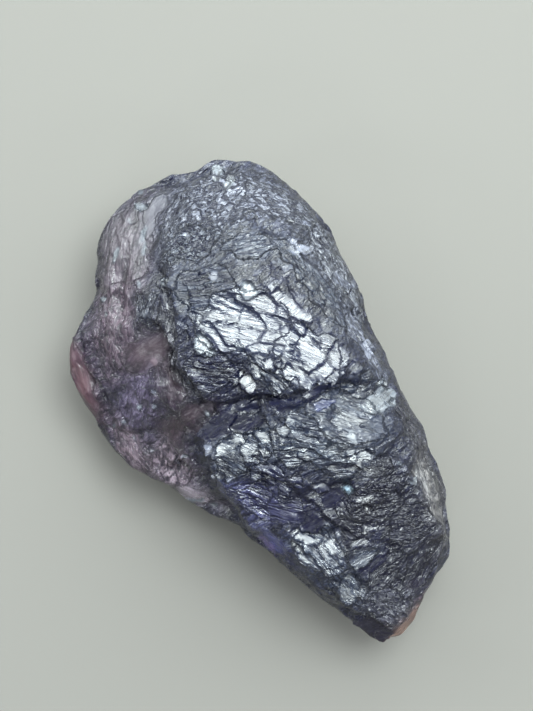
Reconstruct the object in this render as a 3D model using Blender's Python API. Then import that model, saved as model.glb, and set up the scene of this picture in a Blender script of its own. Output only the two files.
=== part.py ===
"""Rough iolite crystal: one natural solid, lying on a flat fracture on its back.

The long axis runs along Y, with the broad crown at +Y and the narrow tip at -Y. The wrinkled
main face looks up (+Z), the smoother grey fracture face looks to -X, and z = 0 is the table.
Blender's unit is the metre. The shape is drawn in millimetres below, then scaled to the
driving dimensions.
"""

import bpy
import numpy as np
from mathutils import Vector, noise

# Driving dimensions, in metres
WIDTH = 0.0279
LENGTH = 0.0475
THICKNESS = 0.0192

# Rows of points run round the crystal, and columns from crown to tip
ROWS_OVER = 156
ROWS_UNDER = 60
COLUMNS = 200
MOST_TRIANGLES = 9600

# Hue of the stone as seen on its plain fracture faces, and its shine
STONE_COLOUR = (0.055, 0.058, 0.105, 1.0)
STONE_ROUGHNESS = 0.3
STONE_IOR = 1.54

# The two ends, where every rail starts and stops
CROWN = (1.0, 23.8, 8.2)
TIP = (-1.0, -23.9, 6.8)

# The outline as seen from above, crown to tip
LEFT_OUTLINE = [
    (-0.8, 23.4), (-2.2, 23.1), (-3.5, 22.4), (-4.6, 21.6), (-5.3, 20.9), (-5.5, 20.3), (-6.4, 19.5),
    (-6.9, 18.8), (-7.2, 18.0), (-8.2, 17.3), (-9.5, 16.7), (-11.0, 15.8), (-12.1, 15.0), (-12.7, 14.1),
    (-13.3, 13.0), (-13.6, 11.5), (-13.7, 9.8), (-13.6, 8.2), (-13.9, 7.0), (-13.9, 5.8), (-13.7, 4.2),
    (-13.4, 2.8), (-12.6, 1.2), (-11.9, 0.2), (-11.2, -0.9), (-11.0, -2.0), (-10.5, -3.2), (-10.0, -4.3),
    (-9.4, -5.4), (-8.6, -6.3), (-7.9, -7.1), (-8.0, -8.0), (-7.6, -9.2), (-7.2, -10.3), (-6.8, -11.6),
    (-6.5, -13.2), (-6.0, -14.8), (-5.6, -16.2), (-5.0, -17.6), (-4.4, -19.0), (-3.9, -20.4),
    (-3.5, -21.6), (-3.1, -22.7), (-2.3, -23.3),
]
RIGHT_OUTLINE = [
    (2.1, 23.3), (3.3, 23.5), (4.3, 23.3), (5.2, 22.8), (6.5, 22.2), (7.6, 22.3), (8.4, 22.3), (9.2, 21.7),
    (10.0, 20.9), (11.0, 20.3), (12.0, 19.0), (12.6, 17.6), (13.0, 16.0), (13.3, 14.5), (13.7, 13.0),
    (13.9, 11.6), (13.8, 10.4), (13.5, 9.0), (13.3, 7.2), (13.1, 5.6), (12.8, 3.9), (12.3, 2.7),
    (12.1, 1.5), (11.9, 0.2), (11.8, -1.0), (11.7, -2.2), (11.3, -3.6), (11.1, -5.0), (11.0, -6.6),
    (11.2, -8.4), (10.8, -9.6), (10.5, -10.9), (10.4, -12.2), (10.1, -13.6), (9.7, -14.9), (9.1, -15.6),
    (8.6, -16.8), (8.0, -18.2), (7.2, -19.6), (6.2, -20.5), (4.5, -21.0), (3.0, -21.6), (2.1, -22.3),
    (0.8, -23.4),
]

# Height of the outline over the table, as (Y, Z)
LEFT_HEIGHT = [
    (-23.8, 6.9), (-19.0, 7.8), (-14.0, 6.6), (-9.0, 7.4), (-4.0, 6.2), (1.0, 7.3), (6.0, 6.2), (11.0, 6.9),
    (16.0, 8.2), (20.0, 7.6), (23.8, 8.4),
]
RIGHT_HEIGHT = [
    (-23.8, 6.9), (-20.0, 6.2), (-15.0, 7.2), (-10.0, 6.3), (-5.0, 7.8), (0.0, 6.5), (4.0, 8.4), (9.0, 7.0),
    (13.0, 8.6), (17.0, 7.0), (20.5, 8.6), (23.8, 8.4),
]

# The other rails along the crystal
LEFT_FACE = [
    (-0.9, 22.4, 9.8), (-3.0, 19.8, 11.2), (-5.2, 16.4, 12.2), (-8.0, 12.8, 12.2), (-9.0, 9.0, 11.9),
    (-9.2, 5.0, 11.3), (-9.2, 1.2, 10.3), (-8.9, -2.0, 9.4), (-8.2, -5.2, 8.8), (-7.6, -8.4, 9.2),
    (-6.9, -11.0, 9.4), (-6.1, -13.8, 9.2), (-5.1, -17.0, 8.8), (-3.9, -20.6, 8.4), (-2.8, -22.8, 8.0),
]
MAIN_RIDGE = [
    (4.0, 22.3, 10.6), (3.2, 20.4, 12.4), (1.4, 18.4, 14.2), (0.2, 16.0, 15.8), (-1.1, 13.8, 16.9),
    (-2.2, 11.4, 17.6), (-3.6, 9.4, 17.4), (-4.2, 7.0, 17.0), (-3.9, 4.6, 16.7), (-4.6, 2.8, 15.9),
    (-6.2, 1.0, 14.7), (-6.8, -1.0, 14.2), (-7.0, -4.0, 13.5), (-6.9, -7.0, 12.6), (-6.2, -10.0, 12.4),
    (-5.2, -13.0, 12.4), (-4.8, -15.6, 11.7), (-4.0, -18.4, 10.6), (-3.0, -20.8, 9.9), (-2.1, -22.9, 8.9),
]
FACE_LINE = [
    (5.2, 21.9, 11.4), (4.4, 19.4, 14.2), (3.2, 16.2, 16.6), (2.2, 13.0, 18.2), (1.2, 10.0, 18.7),
    (0.8, 7.0, 18.6), (0.5, 4.0, 18.0), (0.2, 1.6, 16.9), (-1.0, -0.4, 16.0), (-2.4, -2.4, 16.3),
    (-2.8, -5.0, 15.5), (-2.4, -8.0, 14.5), (-1.8, -11.0, 14.0), (-1.9, -14.0, 13.3), (-2.0, -17.0, 12.1),
    (-1.9, -19.6, 11.0), (-1.5, -22.6, 9.4),
]
CREST = [
    (6.9, 21.2, 11.6), (6.6, 18.8, 14.2), (6.0, 16.0, 16.6), (5.6, 13.0, 18.4), (5.3, 10.0, 19.1),
    (5.0, 7.0, 19.2), (4.9, 4.0, 19.1), (4.8, 1.0, 18.8), (4.6, -1.0, 17.5), (4.7, -3.4, 17.5),
    (4.7, -6.4, 17.1), (4.0, -9.2, 16.0), (3.0, -12.0, 14.5), (2.2, -15.0, 12.9), (1.5, -18.0, 11.2),
    (0.6, -20.6, 10.1), (-0.6, -22.9, 9.2),
]
SHOULDER = [
    (8.8, 20.6, 10.8), (9.6, 18.3, 12.8), (9.9, 15.5, 14.7), (10.0, 12.5, 16.0), (9.9, 9.5, 16.7),
    (9.7, 6.5, 16.9), (9.5, 3.5, 16.8), (9.3, 0.5, 16.3), (9.3, -2.5, 15.5), (9.4, -5.5, 15.2),
    (8.6, -8.5, 14.5), (7.6, -11.5, 13.5), (7.3, -14.5, 12.1), (7.0, -17.3, 10.6), (5.0, -19.6, 9.6),
    (1.0, -22.7, 8.4),
]
RIGHT_SIDE = [
    (10.3, 20.4, 9.6), (11.9, 18.0, 11.0), (12.4, 15.0, 12.2), (12.8, 12.0, 13.0), (12.6, 9.0, 13.2),
    (12.3, 6.0, 13.0), (11.8, 3.0, 12.6), (11.3, 0.0, 12.1), (11.1, -3.0, 11.7), (10.8, -6.0, 11.5),
    (10.4, -9.0, 11.1), (9.6, -12.0, 10.4), (8.9, -15.0, 9.5), (7.5, -18.0, 8.7), (5.2, -20.4, 8.3),
    (1.2, -23.0, 7.6),
]
RIGHT_UNDER = [
    (8.8, 20.8, 5.0), (11.2, 16.2, 4.0), (12.0, 11.0, 3.4), (11.6, 6.0, 3.1), (10.5, 1.0, 3.0),
    (9.9, -4.0, 3.0), (9.5, -9.0, 3.2), (8.4, -13.8, 3.7), (6.2, -18.4, 4.2), (1.6, -22.4, 4.9),
]
BASE_RIGHT = [
    (6.0, 21.0, 3.4), (7.2, 15.8, 1.5), (6.8, 10.4, -0.2), (6.2, 4.0, -0.6), (5.6, -2.0, -0.5),
    (5.2, -8.0, 0.4), (4.2, -13.0, 1.7), (2.6, -17.8, 2.8), (0.4, -22.2, 4.2),
]
BASE_LEFT = [
    (0.5, 21.0, 3.8), (-2.6, 15.9, 1.8), (-5.2, 10.4, -0.1), (-6.2, 4.0, -0.6), (-5.2, -2.0, -0.3),
    (-4.2, -8.0, 0.7), (-3.6, -13.0, 2.0), (-2.9, -17.8, 3.1), (-2.0, -22.2, 4.4),
]
LEFT_UNDER = [
    (-3.0, 21.2, 5.2), (-6.6, 16.6, 4.1), (-11.2, 11.2, 3.5), (-12.4, 5.5, 3.2), (-10.6, 0.0, 3.2),
    (-8.2, -5.0, 3.3), (-6.9, -9.5, 3.5), (-5.8, -14.2, 3.9), (-4.5, -18.4, 4.4), (-2.8, -22.4, 5.1),
]

# Fracture facets: a place on the skin, the way the facet looks, how deep it is cut and its reach
FACETS = [
    ((-6.2, 10.8, 14.0), (-0.58, 0.12, 0.80), 0.35, 3.4),
    ((-5.7, 6.6, 15.0), (-0.62, -0.10, 0.78), 0.35, 2.3),
    ((-10.4, 12.6, 9.8), (-0.60, 0.28, 0.75), 0.30, 2.2),
    ((-3.4, 20.6, 10.8), (-0.42, 0.50, 0.75), 0.30, 3.0),
    ((-4.6, 15.4, 12.9), (-0.62, 0.36, 0.70), 0.25, 2.4),
    ((-2.6, 1.3, 16.2), (-0.16, -0.52, 0.84), 0.25, 2.9),
    ((-3.8, -6.4, 14.6), (-0.50, -0.20, 0.84), 0.35, 2.9),
    ((-6.6, -9.6, 11.6), (-0.80, -0.10, 0.60), 0.25, 1.9),
    ((1.0, -9.1, 15.0), (-0.18, -0.50, 0.85), 0.35, 1.8),
    ((-2.6, -21.4, 8.6), (-0.62, -0.30, 0.73), 0.25, 1.8),
    ((1.2, 8.0, 18.6), (0.16, 0.06, 0.98), 0.35, 3.2),
    ((5.4, 6.4, 19.0), (0.18, 0.06, 0.98), 0.35, 3.4),
    ((6.2, 1.9, 18.7), (0.18, 0.06, 0.98), 0.35, 2.9),
    ((6.6, -4.4, 16.8), (0.20, 0.10, 0.97), 0.35, 3.2),
    ((2.6, 15.2, 17.0), (-0.08, 0.45, 0.89), 0.20, 3.2),
    ((6.6, 18.3, 14.6), (0.18, 0.66, 0.73), 0.15, 2.6),
    ((10.2, 15.2, 14.6), (0.55, 0.34, 0.76), 0.25, 3.4),
    ((11.3, 8.4, 15.0), (0.78, 0.06, 0.62), 0.25, 3.4),
    ((10.6, 1.0, 14.4), (0.82, 0.02, 0.57), 0.25, 3.0),
    ((10.4, -6.0, 13.4), (0.84, -0.10, 0.53), 0.25, 3.0),
    ((9.2, -13.0, 11.6), (0.80, -0.12, 0.58), 0.30, 2.8),
    ((-2.9, -12.0, 13.2), (0.18, 0.06, 0.98), 0.30, 1.9),
    ((-2.4, -16.8, 12.1), (0.18, 0.06, 0.98), 0.25, 1.4),
    ((0.6, -14.4, 13.2), (0.04, -0.04, 1.00), 0.15, 1.2),
    ((4.4, -14.2, 13.4), (0.16, -0.42, 0.89), 0.25, 3.2),
    ((4.6, -18.8, 10.2), (0.30, -0.62, 0.72), 0.25, 2.6),
    ((-9.8, -1.2, 9.2), (-0.45, -0.10, 0.88), 0.20, 2.2),
    ((-9.0, 6.0, 3.0), (-0.62, 0.10, -0.78), 0.35, 5.0),
    ((9.8, 8.0, 2.6), (0.66, 0.02, -0.75), 0.35, 5.0),
    ((1.0, 19.4, 4.0), (0.06, 0.62, -0.78), 0.35, 4.5),
    ((0.4, -17.4, 3.2), (0.04, -0.30, -0.95), 0.30, 4.0),
    ((8.0, -10.0, 3.6), (0.60, -0.20, -0.77), 0.30, 4.0),
    ((-7.6, -4.0, 3.4), (-0.66, -0.22, -0.72), 0.30, 4.0),
]

# A facet's border: how ragged it is and how fast it fades, as shares of the facet's reach, and
# the height over the facet, also in reaches, above which nothing belongs to it
RAGGED = 0.35
RAGGED_SIZE = 0.6
RAGGED_SEED = 5.1
FACET_FADE = 0.25
FACET_HEADROOM = 0.6

# Ledges: the line of the upper edge, with the low ground on the right of the walk, the drop,
# and how far the low ground runs before it has risen back
LEDGES = [
    ([(-3.4, 3.6), (0.6, 2.0), (3.0, 0.4), (5.5, 0.5), (7.0, -0.9), (9.4, -2.3)], 0.9, 3.4),
    ([(-5.2, 2.4), (-3.5, 3.0), (-1.5, 2.4), (0.6, 1.7)], 0.5, 2.2),
    ([(-1.2, 14.6), (-1.5, 13.3), (-2.5, 11.0), (-3.7, 9.3), (-4.5, 7.5), (-3.9, 5.0), (-3.9, 3.2)], 0.8, 2.6),
    ([(-7.6, 17.4), (-10.3, 15.3), (-11.8, 12.8), (-11.3, 9.8), (-12.2, 7.8)], 0.9, 2.0),
    ([(-6.5, 0.9), (-7.0, -1.0), (-7.1, -4.0), (-7.1, -7.0), (-6.6, -10.0)], 0.7, 2.0),
    ([(-10.9, -1.8), (-10.2, -3.0), (-9.3, -3.9), (-8.1, -4.7)], 1.0, 1.8),
    ([(-3.5, -3.4), (-2.0, -5.5), (-1.2, -7.5), (-0.8, -9.5), (0.0, -11.6)], 0.5, 2.4),
    ([(0.4, -7.8), (2.5, -8.3), (5.0, -7.9), (7.0, -8.4), (9.6, -7.4)], 0.6, 2.2),
    ([(8.0, 4.8), (7.9, 7.0), (7.6, 9.0), (7.2, 10.8)], 0.35, 1.8),
    ([(8.2, 13.5), (5.0, 14.0), (1.0, 14.1)], 0.35, 1.8),
    ([(7.6, -17.4), (7.3, -15.0), (7.5, -12.3), (7.4, -9.6)], 0.5, 2.0),
    ([(-3.8, -18.6), (-2.4, -20.0), (-1.5, -21.5), (-1.2, -23.0)], 0.4, 1.6),
    ([(-5.2, -10.2), (-4.9, -12.4), (-4.4, -14.6), (-3.9, -16.6), (-3.6, -18.4)], 0.5, 1.8),
    ([(1.4, -10.6), (0.2, -12.6), (-0.8, -15.0), (-1.2, -17.6)], 0.35, 1.6),
    ([(-12.6, 6.6), (-10.9, 5.0), (-9.0, 4.8), (-7.4, 3.4), (-6.0, 3.9)], 0.35, 2.0),
]
LEDGE_WIDTH = 0.45
LEDGE_ENDS = 1.2

# How far, and over what length, the ledges and grooves waver from their lines
WAVER = 0.45
WAVER_SIZE = 1.9
WAVER_SEEDS = (12.3, 45.6)

# Ledges and grooves fade out where the skin turns down more steeply than this
UPPER = 0.4

# Grooves (depth above 0) and raised lines (below 0) along a line, with their half width in mm
GROOVES = [
    ([(3.2, 22.0), (1.2, 20.4), (-0.8, 18.6), (-2.4, 16.8)], 0.35, 0.9),
    ([(-0.9, 9.8), (-0.4, 7.0), (0.2, 4.5)], 0.30, 0.35),
    ([(0.0, 9.8), (4.0, 6.2)], 0.22, 0.30),
    ([(3.2, 9.3), (5.8, 5.3)], 0.28, 0.35),
    ([(7.4, 10.4), (7.8, 8.0), (8.1, 5.2)], 0.35, 0.40),
    ([(0.0, -0.8), (-0.4, -2.0), (-1.3, -2.9), (-3.0, -3.0)], 0.30, 0.45),
    ([(-0.8, 3.2), (1.8, 3.4), (3.4, 1.2)], 0.35, 0.50),
    ([(6.2, 4.3), (7.2, 3.2), (7.9, 3.6)], 0.30, 0.45),
    ([(-3.4, -3.2), (-2.0, -5.4), (-1.2, -7.5), (-0.7, -9.6), (0.0, -11.6)], -0.22, 0.30),
    ([(7.4, -9.4), (7.5, -12.3), (7.3, -15.0), (7.5, -17.6)], -0.25, 0.35),
    ([(-4.3, 8.6), (-4.3, 7.2), (-3.8, 5.6), (-3.6, 3.9)], -0.20, 0.30),
    ([(-6.0, 17.6), (-3.4, 20.0), (-1.2, 21.8)], -0.25, 0.60),
    ([(-6.8, 14.9), (-4.2, 17.6)], 0.30, 0.60),
]

# Lumps and wrinkles: the middle of the patch, its reach, the way the wrinkles run in degrees
# from +X, the spacing across them, how much longer they are than wide, and their height
WRINKLES = [
    ((3.0, 18.0, 14.5), 7.5, 40.0, 1.7, 1.8, 0.30),
    ((2.0, 12.4, 18.0), 4.5, -33.0, 1.3, 2.6, 0.18),
    ((4.0, 5.5, 18.5), 6.0, -52.0, 1.6, 2.2, 0.14),
    ((10.5, 11.0, 14.0), 7.0, -75.0, 1.8, 1.8, 0.25),
    ((2.0, -4.0, 16.5), 6.5, -45.0, 1.4, 2.6, 0.24),
    ((3.0, -12.5, 13.5), 7.5, -50.0, 1.5, 2.0, 0.34),
    ((0.0, -20.0, 9.5), 4.5, -30.0, 1.4, 1.3, 0.24),
    ((-9.0, 6.0, 11.0), 5.5, 20.0, 2.0, 1.2, 0.38),
    ((-9.0, 0.0, 10.0), 4.5, 60.0, 1.7, 1.2, 0.34),
    ((-5.0, 15.5, 12.0), 4.5, 48.0, 1.8, 1.7, 0.28),
]

# How steeply a patch of wrinkles fades, the step between the patches' seeds, and the level of
# the folds that leaves the skin where it is
WRINKLE_EDGE = 1.4
WRINKLE_SEED = 31.7
WRINKLE_LEVEL = 0.5

# Broad lumps all over: height, size and seed
LUMPS = [(0.28, 5.5, 3.3), (0.16, 2.2, 8.1)]

# Chips all over the sides and the underside, from a fixed seed
CHIP_SEED = 7
CHIP_COUNT = 90
CHIP_REACH = (1.8, 3.8)
CHIP_DEPTH = (0.10, 0.32)
CHIP_TILT = 0.22
CHIP_STEEPEST = 0.25

# How far in from the outline the cuts have faded in
OUTLINE_ROOM = 2.2

# The share of the lumps, ledges and wrinkles that shows on the outline, and the most they stand out
OUTLINE_RELIEF = 0.3
OUTLINE_BUMPS = 0.15


def with_height(outline, heights):
    """The outline's points with their height over the table."""
    ys, zs = zip(*heights)
    return [(x, y, float(np.interp(y, ys, zs))) for x, y in outline]


# Rails in order round the crystal, each with how sharp the edge along it is, from 0 to 1
OVER = [
    (with_height(LEFT_OUTLINE, LEFT_HEIGHT), 0.0),
    (LEFT_FACE, 0.2),
    (MAIN_RIDGE, 0.8),
    (FACE_LINE, 0.0),
    (CREST, 0.1),
    (SHOULDER, 0.4),
    (RIGHT_SIDE, 0.1),
    (with_height(RIGHT_OUTLINE, RIGHT_HEIGHT), 0.0),
]
UNDER = [
    (RIGHT_UNDER, 0.2),
    (BASE_RIGHT, 0.6),
    (BASE_LEFT, 0.6),
    (LEFT_UNDER, 0.2),
]


def smooth(t):
    """0 to 1 with level ends."""
    t = np.clip(t, 0.0, 1.0)
    return t * t * (3 - 2 * t)


def unit(v):
    v = np.array(v, float)
    return v / np.linalg.norm(v, axis=-1, keepdims=True)


def sampled(rail):
    """One point of the rail for each column, at even spacing, both ends left out."""
    line = np.array([CROWN, *rail, TIP])
    travel = np.concatenate([[0.0], np.cumsum(np.linalg.norm(np.diff(line, axis=0), axis=1))])
    wanted = np.linspace(0.0, travel[-1], COLUMNS + 2)[1:-1]
    return np.stack([np.interp(wanted, travel, line[:, k]) for k in range(3)], axis=1)


def across(before, start, end, after, start_sharp, end_sharp, share):
    """A point between two rails, on a cubic that bends less where a rail is sharp."""
    chord = end - start
    leave = (1 - start_sharp) * (end - before) / 2 + start_sharp * chord
    arrive = (1 - end_sharp) * (after - start) / 2 + end_sharp * chord
    s2, s3 = share**2, share**3
    return (
        (2 * s3 - 3 * s2 + 1) * start
        + (s3 - 2 * s2 + share) * leave
        + (3 * s2 - 2 * s3) * end
        + (s3 - s2) * arrive
    )


def skin():
    """Rows of points round the crystal: an array of rows x columns x 3."""
    rails = OVER + UNDER
    lines = [sampled(rail) for rail, _ in rails]
    sharp = [s for _, s in rails]
    total = len(rails)
    over_gaps = len(OVER) - 1
    rows = []
    for first, last, count in ((0, over_gaps, ROWS_OVER), (over_gaps, total, ROWS_UNDER)):
        gaps = range(first, last)
        widths = [np.linalg.norm(lines[(i + 1) % total] - lines[i], axis=1).mean() for i in gaps]
        for i, width in zip(gaps, widths):
            steps = max(2, round(count * width / sum(widths)))
            near = [lines[k % total] for k in (i - 1, i, i + 1, i + 2)]
            for step in range(steps):
                rows.append(across(*near, sharp[i], sharp[(i + 1) % total], step / steps))
    return np.array(rows)


def outward(rows):
    """The skin's unit normals, from its points round and along."""
    round_way = np.roll(rows, -1, axis=0) - np.roll(rows, 1, axis=0)
    along = np.gradient(rows, axis=1)
    return unit(np.cross(along, round_way))


def noise_field(points, size, seed):
    """Smooth noise, about -1 to 1, with features of the given size (one number or one for each axis)."""
    places = (points / np.array(size) + seed).reshape(-1, 3)
    return np.array([noise.noise(Vector(p)) for p in places]).reshape(points.shape[:-1])


def line_distance(points, line):
    """Distance in plan to a line, the side (above 0 on the right), and the distance to its ends."""
    plan = points[..., :2]
    best = np.full(plan.shape[:-1], np.inf)
    side = np.zeros_like(best)
    line = np.array(line, float)
    for a, b in zip(line[:-1], line[1:]):
        step = b - a
        t = np.clip(((plan - a) @ step) / (step @ step), 0.0, 1.0)
        off = plan - a - t[..., None] * step
        far = np.linalg.norm(off, axis=-1)
        turn = off[..., 0] * step[1] - off[..., 1] * step[0]
        nearer = far < best
        side = np.where(nearer, np.sign(turn), side)
        best = np.where(nearer, far, best)
    ends = np.minimum(*(np.linalg.norm(plan - end, axis=-1) for end in (line[0], line[-1])))
    return best, side, ends


def inside_outline(points):
    """How far in from the outline each point is in plan, and its room: 0 on the outline, 1 away from it."""
    border = [CROWN[:2], *LEFT_OUTLINE, TIP[:2], *reversed(RIGHT_OUTLINE), CROWN[:2]]
    far, _, _ = line_distance(points, border)
    heights = [np.interp(points[..., 1], *zip(*side)) for side in (LEFT_HEIGHT, RIGHT_HEIGHT)]
    level = np.where(points[..., 0] < 0, *heights)
    return far, smooth(np.hypot(far, points[..., 2] - level) / OUTLINE_ROOM)


def cut(points, place, way, depth, reach, room):
    """Cuts off what stands above a plane near a place on the skin, up to a ragged border."""
    way = unit(way)
    nearest = np.argmin(np.linalg.norm(points - np.array(place), axis=-1))
    anchor = points.reshape(-1, 3)[nearest] - way * depth
    apart = points - anchor
    height = apart @ way
    plan = np.linalg.norm(apart - height[..., None] * way, axis=-1)
    ragged = plan * (1 + RAGGED * noise_field(points, RAGGED_SIZE * reach, RAGGED_SEED))
    near = smooth((reach - ragged) / (FACET_FADE * reach)) * (height < FACET_HEADROOM * reach)
    return points - (room * near * np.maximum(height, 0.0))[..., None] * way


def add_facets(points, room):
    for place, way, depth, reach in FACETS:
        points = cut(points, place, way, depth, reach, room)
    return points


def add_chips(points, normals, room):
    """Small random facets on the sides and the underside."""
    random = np.random.default_rng(CHIP_SEED)
    low = np.argwhere(normals[..., 2] < CHIP_STEEPEST)
    for _ in range(CHIP_COUNT):
        row, column = low[random.integers(len(low))]
        way = normals[row, column] + random.normal(0.0, CHIP_TILT, 3)
        depth = random.uniform(*CHIP_DEPTH)
        reach = random.uniform(*CHIP_REACH)
        points = cut(points, points[row, column], way, depth, reach, room)
    return points


def wandering(points):
    """The points moved a little in plan, so that a line drawn through them wavers."""
    waver = [noise_field(points, WAVER_SIZE, seed) for seed in WAVER_SEEDS]
    return points[..., :2] + WAVER * np.stack(waver, axis=-1)


def ledges(points, normals):
    """How far the skin is lowered beside each ledge."""
    total = np.zeros(points.shape[:-1])
    wavered = wandering(points)
    for line, drop, run in LEDGES:
        far, side, ends = line_distance(wavered, line)
        down = smooth(far * side / LEDGE_WIDTH) * smooth(1 - far / run)
        total += drop * down * smooth((ends + far) / LEDGE_ENDS)
    return total * smooth(normals[..., 2] / UPPER)


def grooves(points, normals):
    """How far the skin is lowered in each groove."""
    total = np.zeros(points.shape[:-1])
    wavered = wandering(points)
    for line, depth, half in GROOVES:
        far, _, _ = line_distance(wavered, line)
        total += depth * np.exp(-((far / half) ** 2))
    return total * smooth(normals[..., 2] / UPPER)


def wrinkles(points):
    """The folds of each patch."""
    total = np.zeros(points.shape[:-1])
    for index, (middle, reach, degrees, spacing, stretch, height) in enumerate(WRINKLES):
        turn = np.radians(degrees)
        along = np.array((np.cos(turn), np.sin(turn), 0.0))
        sideways = np.array((-np.sin(turn), np.cos(turn), 0.0))
        apart = points - np.array(middle)
        near = smooth(WRINKLE_EDGE * (1 - np.linalg.norm(apart, axis=-1) / reach))
        local = np.stack([apart @ along, apart @ sideways, apart[..., 2]], axis=-1)
        size = (spacing * stretch, spacing, spacing * stretch)
        folds = 1 - 2 * np.abs(noise_field(local, size, WRINKLE_SEED * (index + 1)))
        total += height * near * (folds - WRINKLE_LEVEL)
    return total


def lumps(points):
    return sum(height * noise_field(points, size, seed) for height, size, seed in LUMPS)


def crystal_points():
    points = skin()
    normals = outward(points)
    far, room = inside_outline(points)
    fade = (OUTLINE_RELIEF + (1 - OUTLINE_RELIEF) * room)[..., None]
    rise = np.minimum(lumps(points) + wrinkles(points), far + OUTLINE_BUMPS)
    points = points + rise[..., None] * fade * normals
    points = add_chips(points, normals, room)
    points = add_facets(points, room)
    drop = ledges(points, normals) + grooves(points, normals)
    points = points - drop[..., None] * fade * normals
    points[..., 2] = np.maximum(points[..., 2], 0.0)
    return points


def closed_mesh(rows):
    """A closed mesh of the rows, with one point at each end."""
    count, columns = rows.shape[:2]
    points = [*rows.reshape(-1, 3), CROWN, TIP]
    crown, tip = len(points) - 2, len(points) - 1
    faces = []
    for r in range(count):
        here, there = r * columns, ((r + 1) % count) * columns
        faces.append((crown, here, there))
        faces += [(here + c, here + c + 1, there + c + 1, there + c) for c in range(columns - 1)]
        faces.append((here + columns - 1, tip, there + columns - 1))
    mesh = bpy.data.meshes.new("crystal_drawn")
    mesh.from_pydata([tuple(p) for p in points], [], faces)
    return mesh


def thinned(mesh):
    """The mesh with its flat stretches in larger triangles."""
    drawn = bpy.data.objects.new("crystal_drawn", mesh)
    bpy.context.scene.collection.objects.link(drawn)
    fewer = drawn.modifiers.new("fewer triangles", "DECIMATE")
    fewer.ratio = MOST_TRIANGLES / sum(len(p.vertices) - 2 for p in mesh.polygons)
    graph = bpy.context.evaluated_depsgraph_get()
    result = bpy.data.meshes.new_from_object(drawn.evaluated_get(graph))
    bpy.data.objects.remove(drawn)
    return result


def fit_to_size(mesh):
    """Scales the mesh to the driving dimensions, with its base at z = 0 and its middle on the axis."""
    points = np.empty(len(mesh.vertices) * 3)
    mesh.vertices.foreach_get("co", points)
    points = points.reshape(-1, 3)
    low, high = points.min(axis=0), points.max(axis=0)
    middle = (low + high) / 2
    middle[2] = low[2]
    points = (points - middle) * np.array((WIDTH, LENGTH, THICKNESS)) / (high - low)
    mesh.vertices.foreach_set("co", points.reshape(-1))
    mesh.update()


def stone():
    material = bpy.data.materials.new("iolite")
    material.use_nodes = True
    shader = material.node_tree.nodes["Principled BSDF"]
    shader.inputs["Base Color"].default_value = STONE_COLOUR
    shader.inputs["Roughness"].default_value = STONE_ROUGHNESS
    shader.inputs["Metallic"].default_value = 0.0
    shader.inputs["IOR"].default_value = STONE_IOR
    return material


def main():
    for old in list(bpy.data.objects):
        bpy.data.objects.remove(old)
    mesh = thinned(closed_mesh(crystal_points()))
    mesh.name = "iolite_crystal"
    fit_to_size(mesh)
    mesh.materials.append(stone())
    crystal = bpy.data.objects.new("iolite_crystal", mesh)
    bpy.context.scene.collection.objects.link(crystal)


main()
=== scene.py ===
"""A rough iolite crystal lying on a pale table, seen from above.

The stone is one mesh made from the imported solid: remeshed finely, then carved into plates,
strands, cracks and glinting flats. Lengths are in millimetres, in the solid's frame: +Y towards
the broad crown, +Z up.
"""

from collections import namedtuple

import bpy
import numpy as np
from mathutils import Matrix, Vector, kdtree, noise


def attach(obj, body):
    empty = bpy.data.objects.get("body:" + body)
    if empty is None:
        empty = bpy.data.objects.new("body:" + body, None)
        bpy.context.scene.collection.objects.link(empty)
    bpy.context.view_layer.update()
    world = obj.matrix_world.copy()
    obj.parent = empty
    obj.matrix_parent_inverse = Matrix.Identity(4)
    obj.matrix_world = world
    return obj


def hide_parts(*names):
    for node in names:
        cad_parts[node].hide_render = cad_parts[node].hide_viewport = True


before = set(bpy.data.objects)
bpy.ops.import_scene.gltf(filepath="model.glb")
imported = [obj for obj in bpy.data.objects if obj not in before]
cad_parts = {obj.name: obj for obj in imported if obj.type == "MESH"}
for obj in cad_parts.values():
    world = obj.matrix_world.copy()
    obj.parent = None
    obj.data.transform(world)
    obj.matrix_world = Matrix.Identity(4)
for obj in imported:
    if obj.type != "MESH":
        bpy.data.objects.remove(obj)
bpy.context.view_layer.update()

MM = 0.001
NODE = "iolite_crystal"
UP = Vector((0.0, 0.0, 1.0))
TINY = 1e-12

# Camera: straight above, turned so that the crystal's length leans as in the picture, at a height
# over the level of the stone's outline, where the picture is this tall
CAMERA_HEIGHT = 180.0
CAMERA_TURN = 33.0
CAMERA_OVER = (2.77, 4.58)
OUTLINE_LEVEL = 7.5
VIEW_TALL = 65.2
SENSOR = 36.0
CLIP_START = 10.0

# Mesh of the stone: doubled points are welded, then it is remeshed and softened
WELD = 0.01
FINE_VOXEL = 0.12
MOST_TRIANGLES = 192000
SMOOTH_ROUNDS = 4
SMOOTH_SHARE = 0.5

# Thinning: the upward share of a normal from which the mesh counts as upper and keeps most of
# its triangles, the share over which that fades, its steps, the weight on the upper side, and
# the angle from which an edge stays sharp
UPPER_NORMAL = 0.35
UPPER_FADE = 0.3
UNDER_STEPS = 8
KEPT_SHARE = 0.12
SHARP_ANGLE = 38.0

# Flat base: relief fades in above this height
BASE_FADE = 1.2

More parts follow.
